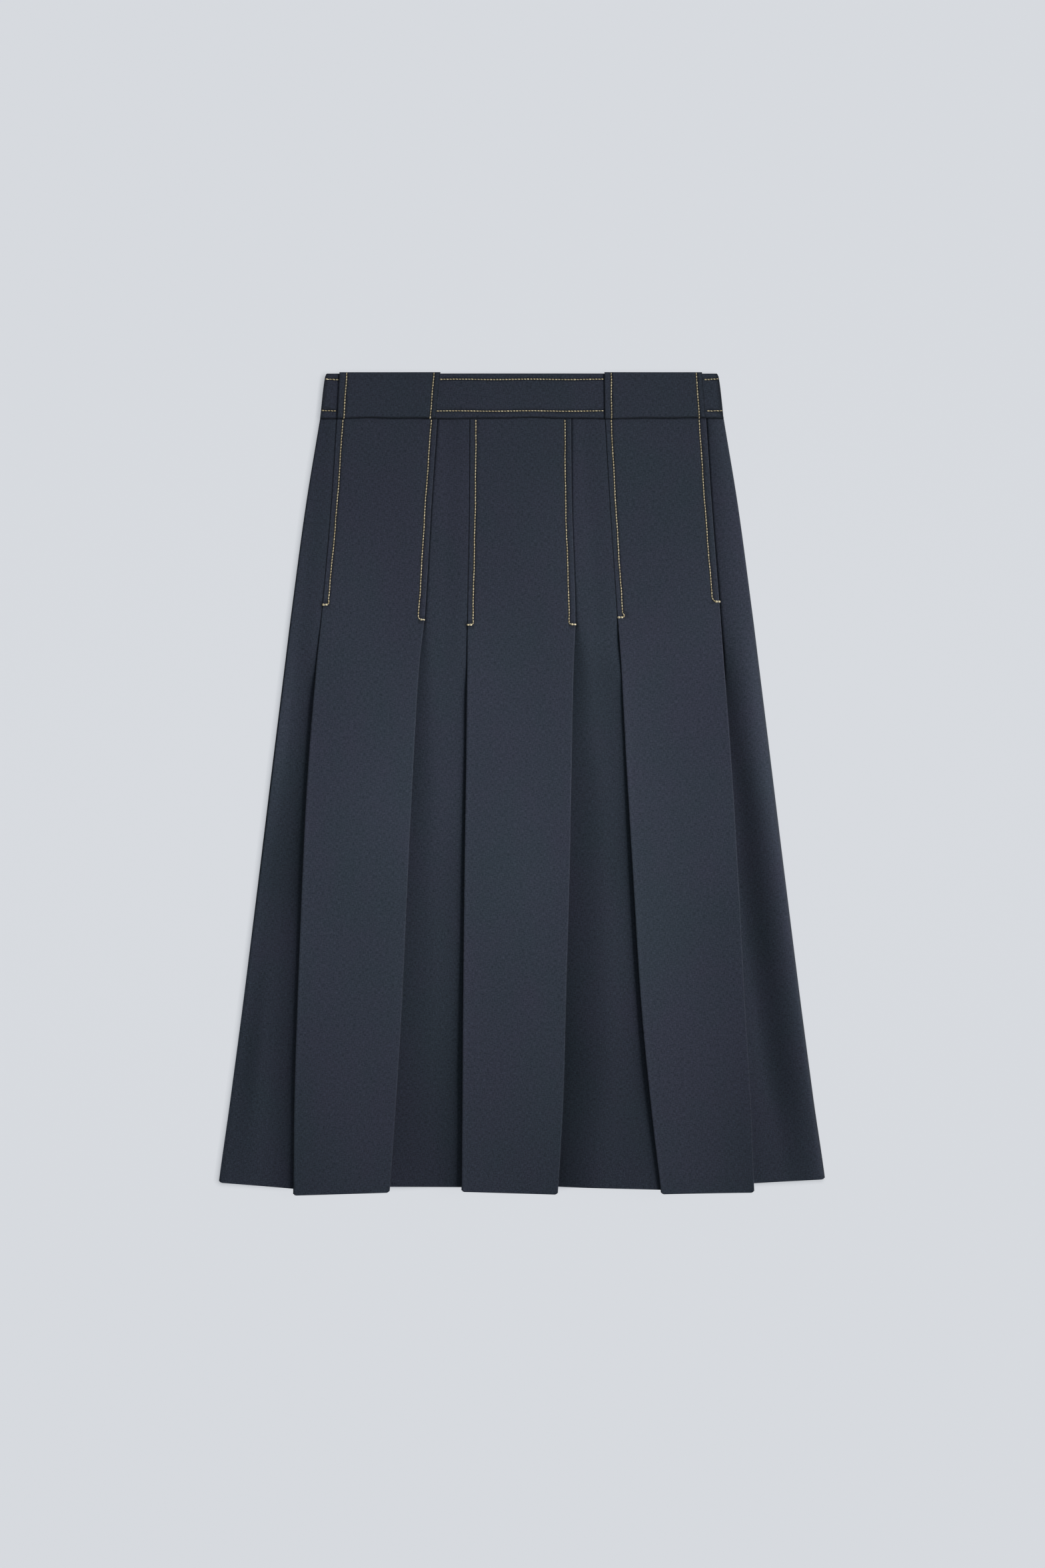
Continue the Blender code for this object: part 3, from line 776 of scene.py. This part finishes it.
BAND_FLAT = 26.0         # the plain stretch ends this far below the upper rows
BAND_COLUMNS = 90


def band_path(line):
    """(x, y) along a row, which wavers a little as the needle does."""
    ripples = (Ripple(0.24, 14, 0.0),)
    return [(mix(line.x0, line.x1, t), mix(line.y0, line.y1, t) + waver(t, ripples))
            for t in (s / 24 for s in range(25))]


band_paths = [band_path(line) for line in BAND_LINES]


def band_section(floor):
    """(y, z) down the middle of a folded band that lies on a height floor, in mm."""
    radius = (BAND - BAND_LAYER) / 2
    turn_at = BAND_TOP - radius - BAND_LAYER / 2
    inside = [(mix(BAND_EDGE, turn_at, k / 8), floor + BAND_LAYER / 2) for k in range(8)]
    turn = [(turn_at + radius * math.sin(math.pi * k / 8),
             floor + BAND / 2 - radius * math.cos(math.pi * k / 8)) for k in range(9)]
    stops = [turn_at - 2.0]
    for row in (ROW_TOP, ROW_BOTTOM):
        stops += [row - off for off in GROOVE_POINTS]
        if row == ROW_TOP:
            stops += [mix(row - CLEAR, row - BAND_FLAT, k / 4) for k in range(5)]
    stops += [BAND_EDGE + off for off in BAND_STOPS]
    outside = []
    for y in stops:
        near = min(abs(y - ROW_TOP), abs(y - ROW_BOTTOM))
        dip = GROOVE * (1 - smooth(near / GROOVE_HALF))
        dip += BAND_DIP * max(0.0, 1 - (y - BAND_EDGE) / BAND_DIP_OVER)**2
        outside.append((y, floor + BAND - BAND_LAYER / 2 - dip))
    return inside + turn + outside


print("points in the band's section:", len(band_section(0.0)))


# %% The three bands
def make_band(name, start, end, floor, columns):
    """A folded band, from start to end as shares of its half-width, at a height floor."""
    grid = []
    for y, z in band_section(floor):
        half = row_at(BAND_ROWS, y).half
        row = []
        for column in range(columns + 1):
            share = mix(start, end, column / columns)
            x = half * share
            if share == 0:
                x = math.copysign(GAP / 4, start + end)
            raised = ground(x, y) if floor else 0.0
            row.append((x, y + seam_waver(x, y - BAND_EDGE), z + raised))
        grid.append(row)
    lines = [*band_paths, seam_shade_line] if floor else ()
    band = make_cloth(name + "_cloth", grid, BAND_LAYER, lines)
    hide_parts(name)
    return band


bands = [make_band("waistband_front", -1, 1, BAND + GAP, BAND_COLUMNS),
         make_band("waistband_back_left", -1, 0, 0.0, BACK_COLUMNS),
         make_band("waistband_back_right", 0, 1, 0.0, BACK_COLUMNS)]


# %% [markdown]
# ## The straps
#
# Over each outer pleat a wide strap carries the pleat's face on up the waistband, turns
# over its top edge and ends inside.  Its lower end is caught in the waist seam, so it dips
# there.  The topstitching of the pleat runs on up the strap.

# %% The straps' edges and threads
Strap = namedtuple("Strap", "top_left top_right seam_left seam_right")
STRAPS = {
    "strap_left": Strap(-177.7, -79.3, -179.7, -83.9),
    "strap_right": Strap(80.5, 175.5, 81.1, 179.3),
}
STRAP_LINES = {          # distance of the topstitching from the strap's edges
    "strap_left": Strap(7.0, 6.4, 6.0, 5.6),
    "strap_right": Strap(6.4, 5.8, 6.2, 6.4),
}
STRAP_TOP = 401.1        # Y of the straps' turned top edge
THREAD_ENDS = (STRAP_TOP - 0.4, WAIST_SEAM - 0.6)    # Y where their threads start and end


def strap_thread(name, k):
    """(x, y) down a strap's left (0) or right (1) topstitching."""
    strap, line, side = STRAPS[name], STRAP_LINES[name], 1 - 2 * k
    top, seam = strap[k] + side * line[k], strap[k + 2] + side * line[k + 2]
    ripples = (Ripple(0.14, 9, k),)
    return [(mix(top, seam, t) + waver(t, ripples), mix(*THREAD_ENDS, t))
            for t in (s / 10 for s in range(11))]


print("points down a strap's thread:", len(strap_thread("strap_left", 0)))


# %% The straps' path over the band
STRAP_TURN = 1.2         # radius of the turn over the band's top
STRAP_DIP = 0.9          # how far a strap's face dips into the waist seam
STRAP_STOPS = (2.2, 1.4, 0.8, 0.3)   # its last points, in mm above the seam
STRAP_PLAIN = (3.5, 4.5)   # its plain stretch stays this far from its turn and its seam
strap_inside = BAND + GAP + 0.05
strap_face = 2 * BAND + GAP + WOOL / 2 + 0.1
strap_end = STRAP_TOP - WOOL / 2


def strap_path():
    """(y, z) from the strap's inner end over the band's top and down to the seam."""
    turn = STRAP_TURN
    path = [(strap_end, strap_inside), (strap_end, strap_face - turn)]
    path += [(strap_end - turn * (1 - math.cos(a)), strap_face - turn * (1 - math.sin(a)))
             for a in (math.pi / 2 * k / 5 for k in range(1, 6))]
    plain = (strap_end - STRAP_PLAIN[0], WAIST_SEAM + STRAP_PLAIN[1])
    path += [(mix(*plain, k / 14), strap_face) for k in range(15)]
    path += [(WAIST_SEAM + off, strap_face - STRAP_DIP * (1 - off / STRAP_STOPS[0])**2)
             for off in STRAP_STOPS]
    return path


print("points down a strap:", len(strap_path()))


# %% Two straps over the band
straps = []
for name, strap in STRAPS.items():
    lines = STRAP_LINES[name]
    grid = []
    for y, z in strap_path():
        down = (STRAP_TOP - y) / (STRAP_TOP - WAIST_SEAM)
        left, right = mix(strap[0], strap[2], down), mix(strap[1], strap[3], down)
        first, last = mix(lines[0], lines[2], down), mix(lines[1], lines[3], down)
        places = [left + place for place in across_pleat(right - left, first, last)]
        row = []
        for x in [left, *places, right]:
            dip = sum(1 - smooth(abs(off) / GROOVE_HALF)
                      for off in (x - left - first, right - x - last))
            row.append((x, y + seam_waver(x, y - WAIST_SEAM),
                        z + ground(x, y) - GROOVE * dip))
        grid.append(row)
    threads = [strap_thread(name, 0), strap_thread(name, 1)]
    piece = make_cloth(name + "_cloth", grid, lines=threads + [seam_shade_line])
    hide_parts(name)
    straps.append(piece)


# %% [markdown]
# ## What the front was cut to
#
# The front's flat size, in metres, is given here.  A pleated front is much wider flat than
# worn:
# each box takes up its own width and its folds' width again on both sides.

FRONT_FLAT = (1.10, 0.765)
print("front's flat width over its hem:", round(FRONT_FLAT[0] / (2 * OUTLINE[-1].half * MM), 2))


# %% [markdown]
# ## The topstitching
#
# The thread is thick and gold, in stitches about 3 mm long.  At this size each stitch is a
# small plump loop of its own, sunk at both ends where the thread goes down through the
# cloth.  One stitch is made from a sphere, whose ends are blunted and bent down, and every
# other one is a copy of it.  A ray cast down onto the cloth seats each copy.

# %% Model one stitch
DROOP = 0.40             # how far a stitch's ends sink, as a share of its height


def model_stitch():
    """A stitch 1 long, 1 wide and 1 high, along X: its vertices, faces and UV."""
    bpy.ops.mesh.primitive_uv_sphere_add(segments=8, ring_count=7, radius=0.5,
                                         rotation=(0.0, math.pi / 2, 0.0))
    piece = bpy.context.object
    piece.data.transform(piece.matrix_world)
    mesh = piece.data
    vertices = np.array([v.co[:] for v in mesh.vertices])
    blunt = np.sign(vertices[:, 0]) * 0.5 * (2 * np.abs(vertices[:, 0]))**0.5
    vertices[:, 2] -= DROOP * (2 * np.abs(blunt))**6
    vertices[:, 0] = blunt
    # Blender lists a new sphere's faces in an order that can vary from run to run.
    polygons = sorted(mesh.polygons, key=lambda polygon: tuple(polygon.vertices))
    faces = [list(polygon.vertices) for polygon in polygons]
    loops = [index for polygon in polygons for index in polygon.loop_indices]
    uv = np.array([mesh.uv_layers[0].data[index].uv[:] for index in loops])
    bpy.data.objects.remove(piece)
    bpy.data.meshes.remove(mesh)
    return vertices, faces, uv


stitch_vertices, stitch_faces, stitch_uv = model_stitch()
print("faces in a stitch:", len(stitch_faces))


# %% Find the cloth's surface
RAY_FROM = 50.0          # a height above all the cloth, in mm


def surface(x, y, pieces):
    """The highest point of the pieces at (x, y), in mm, or None past their edges."""
    tops = []
    for piece in pieces:
        start = Vector((x, y, RAY_FROM)) * MM
        hit, place, _, _ = piece.ray_cast(start, Vector((0, 0, -1)))
        if hit:
            tops.append(place.z / MM)
    return max(tops, default=None)


bpy.context.view_layer.update()
print("the centre box's height at its middle in mm:", round(surface(0.0, 0.0, [front]), 2))


# %% Lay stitches along a path
Stitch = namedtuple("Stitch", "start end width high")


def stitches_along(path, pitch, gap, width, high, slant=0.0):
    """Stitches laid end to end along a path of (x, y) points, with gaps between them."""
    path = [Vector(p) for p in path]
    lengths = [(b - a).length for a, b in zip(path, path[1:])]
    total = sum(lengths)
    count = max(1, round(total / pitch))

    def place(distance):
        for a, b, length in zip(path, path[1:], lengths):
            if distance <= length:
                return a.lerp(b, distance / length)
            distance -= length
        return path[-1].copy()

    stitches = []
    for k in range(count):
        start = place(total * k / count + gap / 2)
        end = place(total * (k + 1) / count - gap / 2)
        aside = Vector((start.y - end.y, end.x - start.x)).normalized() * slant
        stitches.append(Stitch(start + aside, end - aside, width, high))
    return stitches


print("stitches in 30 mm:", len(stitches_along([(0, 0), (30, 0)], 3.0, 0.3, 1, 1)))


# %% Seat the stitches on the cloth
random = np.random.default_rng(7)
PROUD = 0.10             # how far a stitch's middle lies above the cloth, in mm
UNEVEN_WIDTH = 0.12      # how unevenly the stitches are pulled, as a share of their width
UNEVEN_HEIGHT = 0.10     # and of their height
HEAVY = 1.5              # a stitch wider than this is of a heavier, paler thread
HEAVY_SHADES = (0.9, 1.6)


def make_stitches(name, stitches, pieces):
    """One mesh of all the stitches, each a copy of the one that was modelled."""
    vertices, faces, uvs, shades = [], [], [], []
    last = 0.0
    for stitch in stitches:
        ends = []
        for point in (stitch.start, stitch.end):
            z = surface(point.x, point.y, pieces)
            last = last if z is None else z
            ends.append(Vector((point.x, point.y, last)))
        forward = ends[1] - ends[0]
        length = forward.length
        forward.normalize()
        aside = Vector((0, 0, 1)).cross(forward).normalized()
        up = forward.cross(aside)
        middle = (ends[0] + ends[1]) / 2 + up * PROUD
        wide = stitch.width * (1 + UNEVEN_WIDTH * random.standard_normal())
        high = stitch.high * (1 + UNEVEN_HEIGHT * random.standard_normal())
        axes = np.array([forward * length, aside * wide, up * high])
        first = len(vertices) * len(stitch_vertices)
        vertices.append(stitch_vertices @ axes + np.array(middle))
        faces += [[first + v for v in face] for face in stitch_faces]
        uvs.append(stitch_uv)
        heavy = stitch.width > HEAVY
        shade = random.uniform(*HEAVY_SHADES) if heavy else random.random()
        shades.append(np.full(len(stitch_vertices), shade))
    mesh = bpy.data.meshes.new(name)
    mesh.from_pydata((np.concatenate(vertices) * MM).tolist(), [], faces)
    layer = mesh.uv_layers.new(name="thread")
    layer.data.foreach_set("uv", np.concatenate(uvs).astype(np.float32).ravel())
    shade = mesh.attributes.new("shade", "FLOAT", "POINT")
    shade.data.foreach_set("value", np.concatenate(shades).astype(np.float32))
    piece = bpy.data.objects.new(name, mesh)
    bpy.context.scene.collection.objects.link(piece)
    for polygon in mesh.polygons:
        polygon.use_smooth = True
    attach(piece, "root")
    print(f"{name}: {len(stitches)} stitches, {len(faces)} faces")
    return piece


# %% The lines down the pleats
PITCH = 2.87             # from one stitch to the next, in mm
BAND_PITCH = 3.0         # and along the waistband
THREAD_WIDTH = 1.15
THREAD_HIGH = 0.9
STITCH_GAP = 0.3
KNEE_GAP = 0.1
SLANT = 0.12             # a twisted thread pulls each stitch a little askew
BAR_PITCH = 2.4
BAR_GAP = -0.3           # the bar's stitches overlap
BAR_WIDTH = 1.9
BAR_HIGH = 1.2
BAR_SLANT = 0.1


def single_row(path):
    """A single row of stitches along a path."""
    return stitches_along(path, PITCH, STITCH_GAP, THREAD_WIDTH, THREAD_HIGH, SLANT)


thread_pieces = []
for edge in LINES:
    corner, knee, end = bar_path(edge)
    row = single_row(pleat_path(edge))
    turn = stitches_along([corner, knee], PITCH, KNEE_GAP, THREAD_WIDTH, THREAD_HIGH)
    bar = stitches_along([knee, end], BAR_PITCH, BAR_GAP, BAR_WIDTH, BAR_HIGH, BAR_SLANT)
    thread_pieces.append(make_stitches(f"stitches_{edge}", row + turn + bar, [front]))


# %% The lines up the straps
for name, piece in zip(STRAPS, straps):
    rows = single_row(strap_thread(name, 0)) + single_row(strap_thread(name, 1))
    thread_pieces.append(make_stitches(f"stitches_{name}", rows, [piece, bands[0]]))


# %% The lines along the waistband
band_rows = []
for path in band_paths:
    band_rows += stitches_along(path, BAND_PITCH, STITCH_GAP, THREAD_WIDTH, THREAD_HIGH,
                                SLANT)
thread_pieces.append(make_stitches("stitches_waistband", band_rows, [bands[0]]))


# %% [markdown]
# ## Writing shaders as sums
#
# A material is a web of nodes.  Adding, scaling and mixing by hand is slow to read, so a
# small class wraps a socket: `a * 0.5 + b` then adds the Math nodes by itself, and one
# method adds any other node.

# %% A wrapper for shader maths
class Value:
    """A shader socket that adds, multiplies and so on like a number."""

    def __init__(self, tree, socket=None):
        self.tree = tree
        self.socket = socket

    def node(self, kind, settings=(), inputs=(), output=0):
        """Adds a node: its settings first, then its inputs, as values or links."""
        node = self.tree.nodes.new(kind)
        for key, value in dict(settings).items():
            setattr(node, key, value)
        for key, value in dict(inputs).items():
            if isinstance(value, Value):
                self.tree.links.new(value.socket, node.inputs[key])
            else:
                node.inputs[key].default_value = value
        return Value(self.tree, node.outputs[output])

    def math(self, operation, a, b=0.0):
        return self.node("ShaderNodeMath", {"operation": operation}, {0: a, 1: b})

    def __add__(self, other):
        return self.math("ADD", self, other)

    def __sub__(self, other):
        return self.math("SUBTRACT", self, other)

    def __rsub__(self, other):
        return self.math("SUBTRACT", other, self)

    def __mul__(self, other):
        return self.math("MULTIPLY", self, other)

    __radd__ = __add__
    __rmul__ = __mul__


def new_material(name, roughness, sheen=0.0, specular=0.5):
    """A new material, the start of its nodes and its shader."""
    material = bpy.data.materials.new(name)
    material.use_nodes = True
    shader = material.node_tree.nodes["Principled BSDF"]
    shader.inputs["Roughness"].default_value = roughness
    shader.inputs["Sheen Weight"].default_value = sheen
    shader.inputs["Sheen Roughness"].default_value = 0.5
    shader.inputs["Specular IOR Level"].default_value = specular
    return material, Value(material.node_tree), shader


def mix_colours(start, share, low, high, settings=()):
    """The colour low where share is 0 and high where it is 1."""
    return start.node("ShaderNodeMix", {"data_type": "RGBA", **dict(settings)},
                      {0: share, 6: low, 7: high}, 2)


def scale_colour(start, colour, share):
    return start.node("ShaderNodeVectorMath", {"operation": "SCALE"},
                      {0: colour, "Scale": share})


def finish_with(start, shader, colour, height, strength, depth):
    """Links a colour and a bump, as deep as depth in metres, to a shader."""
    bump = start.node("ShaderNodeBump", {}, {"Height": height, "Strength": strength,
                                            "Distance": depth}, "Normal")
    start.tree.links.new(colour.socket, shader.inputs["Base Color"])
    start.tree.links.new(bump.socket, shader.inputs["Normal"])


def paint(pieces, material):
    for piece in pieces:
        piece.data.materials.clear()
        piece.data.materials.append(material)
    print(f"{material.name}: on {len(pieces)} pieces")


# %% [markdown]
# ## The wool
#
# The cloth is a fine, smooth wool in dark grey-blue.  Close up it is a plain weave of
# slightly uneven threads, some a little lighter than others; from further away it has a
# soft mottle between a greener and a redder blue, as dyed wool does.  Noise stretched
# along the warp and the weft gives threads that never line up into a false pattern.

# %% The wool's finish
GREENER = (0.0250, 0.0342, 0.0495, 1.0)
REDDER = (0.0292, 0.0332, 0.0530, 1.0)
DYE = 3.4                # how sharply the dye turns from the one to the other
DYE_START = 0.34         # and the mottle's value where it starts to turn
THREADS_PER_M = 1350.0   # scale of the weave's noise
THREAD_LONG = 0.23       # a thread's noise is stretched to 1 over this along the thread
WEAVE_SHADE = 0.9        # how strongly the threads differ in shade
WEAVE_DEPTH = 0.00015    # depth of the weave, in metres
PAINTED_SHADE_DARK = 0.55      # how much darker the painted shade makes the wool at folds, threads and the seam


def wool_material():
    material, start, shader = new_material("wool_suiting", 0.85, sheen=0.05, specular=0.22)
    uv = start.node("ShaderNodeTexCoord", output="UV")

    def noise(scale, stretch, detail=2.0):
        place = start.node("ShaderNodeMapping", {}, {"Vector": uv, "Scale": stretch})
        return start.node("ShaderNodeTexNoise", {"noise_dimensions": "2D"},
                          {"Vector": place, "Scale": scale, "Detail": detail,
                           "Roughness": 0.55}, "Fac")

    mottle = noise(9.0, (1.0, 0.6, 1.0)) * 0.7 + noise(40.0, (1.0, 0.8, 1.0)) * 0.3
    hue = mix_colours(start, (mottle - DYE_START) * DYE, GREENER, REDDER)
    warp = noise(THREADS_PER_M, (1.0, THREAD_LONG, 1.0), 1.0)
    weft = noise(THREADS_PER_M, (THREAD_LONG, 1.0, 1.0), 1.0)
    threads = warp + weft
    # Shade painted where folds turn, beside the topstitching and along the waist seam.
    painted_shade = start.node("ShaderNodeAttribute", {"attribute_name": "painted_shade"}, output="Fac")
    shade = ((threads - 1.0) * WEAVE_SHADE + 1.0) * (1.0 - painted_shade * PAINTED_SHADE_DARK)
    finish_with(start, shader, scale_colour(start, hue, shade), threads, 0.45, WEAVE_DEPTH)
    return material


paint([front, *backs, *bands, *straps], wool_material())


# %% [markdown]
# ## The thread and the zip's tape
#
# The thread is a gold-tan twist.  Its strands wind round it, so a slanting wave on its UV
# map gives the ridges and paints shade into the grooves between them, and each stitch has
# its own tone.  The zip's tape is plain.

# %% The thread's finish
DARK_GOLD = (0.39, 0.310, 0.175, 1.0)
LIGHT_GOLD = (0.56, 0.475, 0.305, 1.0)
STRAND_PAINTED_SHADE = 0.35      # painted shade: how much darker a strand's groove is painted than its ridge
STRAND_DEPTH = 0.0001    # depth of that groove, in metres


def thread_material():
    material, start, shader = new_material("gold_thread", 0.5, sheen=0.15, specular=0.4)
    shade = start.node("ShaderNodeAttribute", {"attribute_name": "shade"}, output="Fac")
    gold = mix_colours(start, shade, DARK_GOLD, LIGHT_GOLD, {"clamp_factor": False})
    uv = start.node("ShaderNodeTexCoord", output="UV")
    strands = start.node("ShaderNodeTexWave", {"bands_direction": "DIAGONAL"},
                         {"Vector": uv, "Scale": 1.6}, "Fac")
    # Painted shade in the grooves between the strands.
    colour = scale_colour(start, gold, strands * STRAND_PAINTED_SHADE + 0.75)
    finish_with(start, shader, colour, strands, 0.5, STRAND_DEPTH)
    return material


paint(thread_pieces, thread_material())


# %% The tape's finish
TAPE_DARK = (0.015, 0.017, 0.024, 1.0)
TAPE_LIGHT = (0.026, 0.029, 0.040, 1.0)


def tape_material():
    material, start, shader = new_material("zip_tape", 0.7, specular=0.3)
    place = start.node("ShaderNodeTexCoord", output="Object")
    ribs = start.node("ShaderNodeTexWave", {"bands_direction": "Y"},
                      {"Vector": place, "Scale": 400.0}, "Fac")
    colour = mix_colours(start, ribs, TAPE_DARK, TAPE_LIGHT)
    start.tree.links.new(colour.socket, shader.inputs["Base Color"])
    return material


paint([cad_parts["back_zip"]], tape_material())


# %% [markdown]
# ## The table and the light
#
# The skirt lies on a plain pale table, lit as evenly as paper on a light box.  A table
# that took the lamps' shadows would show broad ones, so this one gives its own light, and
# an Ambient Occlusion node that looks towards the lamps darkens it only close to the cloth.
#
# A tall soft panel stands low to the right, so the left edge of every pleat throws a soft
# shadow and each fold shows its shape.  A column of narrow beams from the same side
# brightens the middle of the skirt, with the same soft shadows, because they come from as
# many heights.  The room gives a little light all round.

# %% The table
TABLE_OPEN = (0.668, 0.690, 0.727, 1.0)
TABLE_SHADED = (0.24, 0.26, 0.29, 1.0)
SHADE_REACH = 0.006      # how near the cloth shades the table, in metres
BELOW = 0.0004           # the table's top lies this far under the cloth, in metres
bpy.ops.mesh.primitive_plane_add(size=12.0, location=(0, 0, -BELOW))
floor = bpy.context.object
floor.name = "floor"
floor.data.transform(floor.matrix_world)
floor.matrix_world.identity()
floor.select_set(False)
floor_material, start, floor_shader = new_material("pale_table", 0.9, specular=0.0)
floor_shader.inputs["Base Color"].default_value = (0.02, 0.02, 0.02, 1.0)
floor_shader.inputs["Emission Strength"].default_value = 1.0
# Towards the lamps, and turned up the skirt, so that the hem shades the table as well.
towards_lamps = start.node("ShaderNodeCombineXYZ", {}, {"X": 0.78, "Y": 0.45, "Z": 0.43})
open_share = start.node("ShaderNodeAmbientOcclusion", {"samples": 4},
                        {"Distance": SHADE_REACH, "Normal": towards_lamps}, "AO")
table_light = mix_colours(start, open_share, TABLE_SHADED, TABLE_OPEN)
start.tree.links.new(table_light.socket, floor_shader.inputs["Emission Color"])
floor.data.materials.append(floor_material)
print("table's width in m:", floor.dimensions.x)


# %% The soft panel
AIM = Vector((-0.050, 0.005, 0.0))   # the middle of the brightest part
SIDEWAYS = math.radians(8)           # the lamps stand this far round from +X to +Y
PANEL_AWAY = 14.0
PANEL_HIGH = 22                      # its elevation in degrees


def to_lamp(elevation):
    """The direction from the skirt to a lamp at an elevation in degrees."""
    up = math.radians(elevation)
    return Vector((math.cos(up) * math.cos(SIDEWAYS), math.cos(up) * math.sin(SIDEWAYS),
                   math.sin(up)))


def add_lamp(name, data, elevation, away):
    lamp = bpy.data.objects.new(name, data)
    bpy.context.scene.collection.objects.link(lamp)
    lamp.location = AIM + away * to_lamp(elevation)
    lamp.rotation_euler = to_lamp(elevation).to_track_quat("Z", "Y").to_euler()
    return lamp


panel = bpy.data.lights.new("panel", "AREA")
panel.shape = "RECTANGLE"
panel.size, panel.size_y = 4.2, 6.0
panel.energy = 2020.0
panel_lamp = add_lamp("panel", panel, PANEL_HIGH, PANEL_AWAY)
print("panel's place:", [round(v, 2) for v in panel_lamp.location])


# %% The beams
BEAM_AWAY = 7.0
BEAMS_HIGH = (10, 15, 19, 23, 28, 33)
BEAM_ROUND = (0.195, 0.39)           # reach of the bright part along X and Y, in metres
for elevation in BEAMS_HIGH:
    beam = bpy.data.lights.new(f"beam_{elevation}", "SPOT")
    beam.energy = 1920.0
    beam.spot_size = 2 * math.atan(BEAM_ROUND[1] / BEAM_AWAY)
    beam.spot_blend = 1.0
    beam.shadow_soft_size = 0.30
    lamp = add_lamp(beam.name, beam, elevation, BEAM_AWAY)
    flat = BEAM_ROUND[0] / BEAM_ROUND[1] * math.sin(math.radians(elevation))
    lamp.scale = (1.0, flat, 1.0)
print("beams:", len(BEAMS_HIGH))


# %% The room's light
ROOM = (0.158, 0.178, 0.180, 1.0)    # the light that the room gives
SEEN = (0.679, 0.701, 0.738, 1.0)    # and its colour beyond the table's edge
world = bpy.data.worlds.new("studio")
world.use_nodes = True
room = Value(world.node_tree)
camera_ray = room.node("ShaderNodeLightPath", output="Is Camera Ray")
light = mix_colours(room, camera_ray, ROOM, SEEN)
world.node_tree.links.new(light.socket, world.node_tree.nodes["Background"].inputs["Color"])
bpy.context.scene.world = world
bpy.context.scene.view_settings.view_transform = "Standard"
print("room's light:", ROOM[:3])


# %% [markdown]
# ## The camera
#
# The camera looks straight down at the middle of the skirt from well above it, through a
# long lens, so that the sides stay straight.

# %% The camera
VIEW_HEIGHT = 1.5288     # what the view takes in, from top to bottom, at the front's level
VIEW_MIDDLE = (0.00065, -0.0002)
camera_data = bpy.data.cameras.new("camera")
camera_data.lens = 85.0
camera_data.sensor_width = 36.0
camera = bpy.data.objects.new("camera", camera_data)
bpy.context.scene.collection.objects.link(camera)
away = camera_data.lens / camera_data.sensor_width * VIEW_HEIGHT
camera.location = (*VIEW_MIDDLE, layer_mid(0, HEM) * MM + away)
camera_data.clip_end = 3 * away
bpy.context.scene.camera = camera
print("camera's height:", round(camera.location.z, 2))
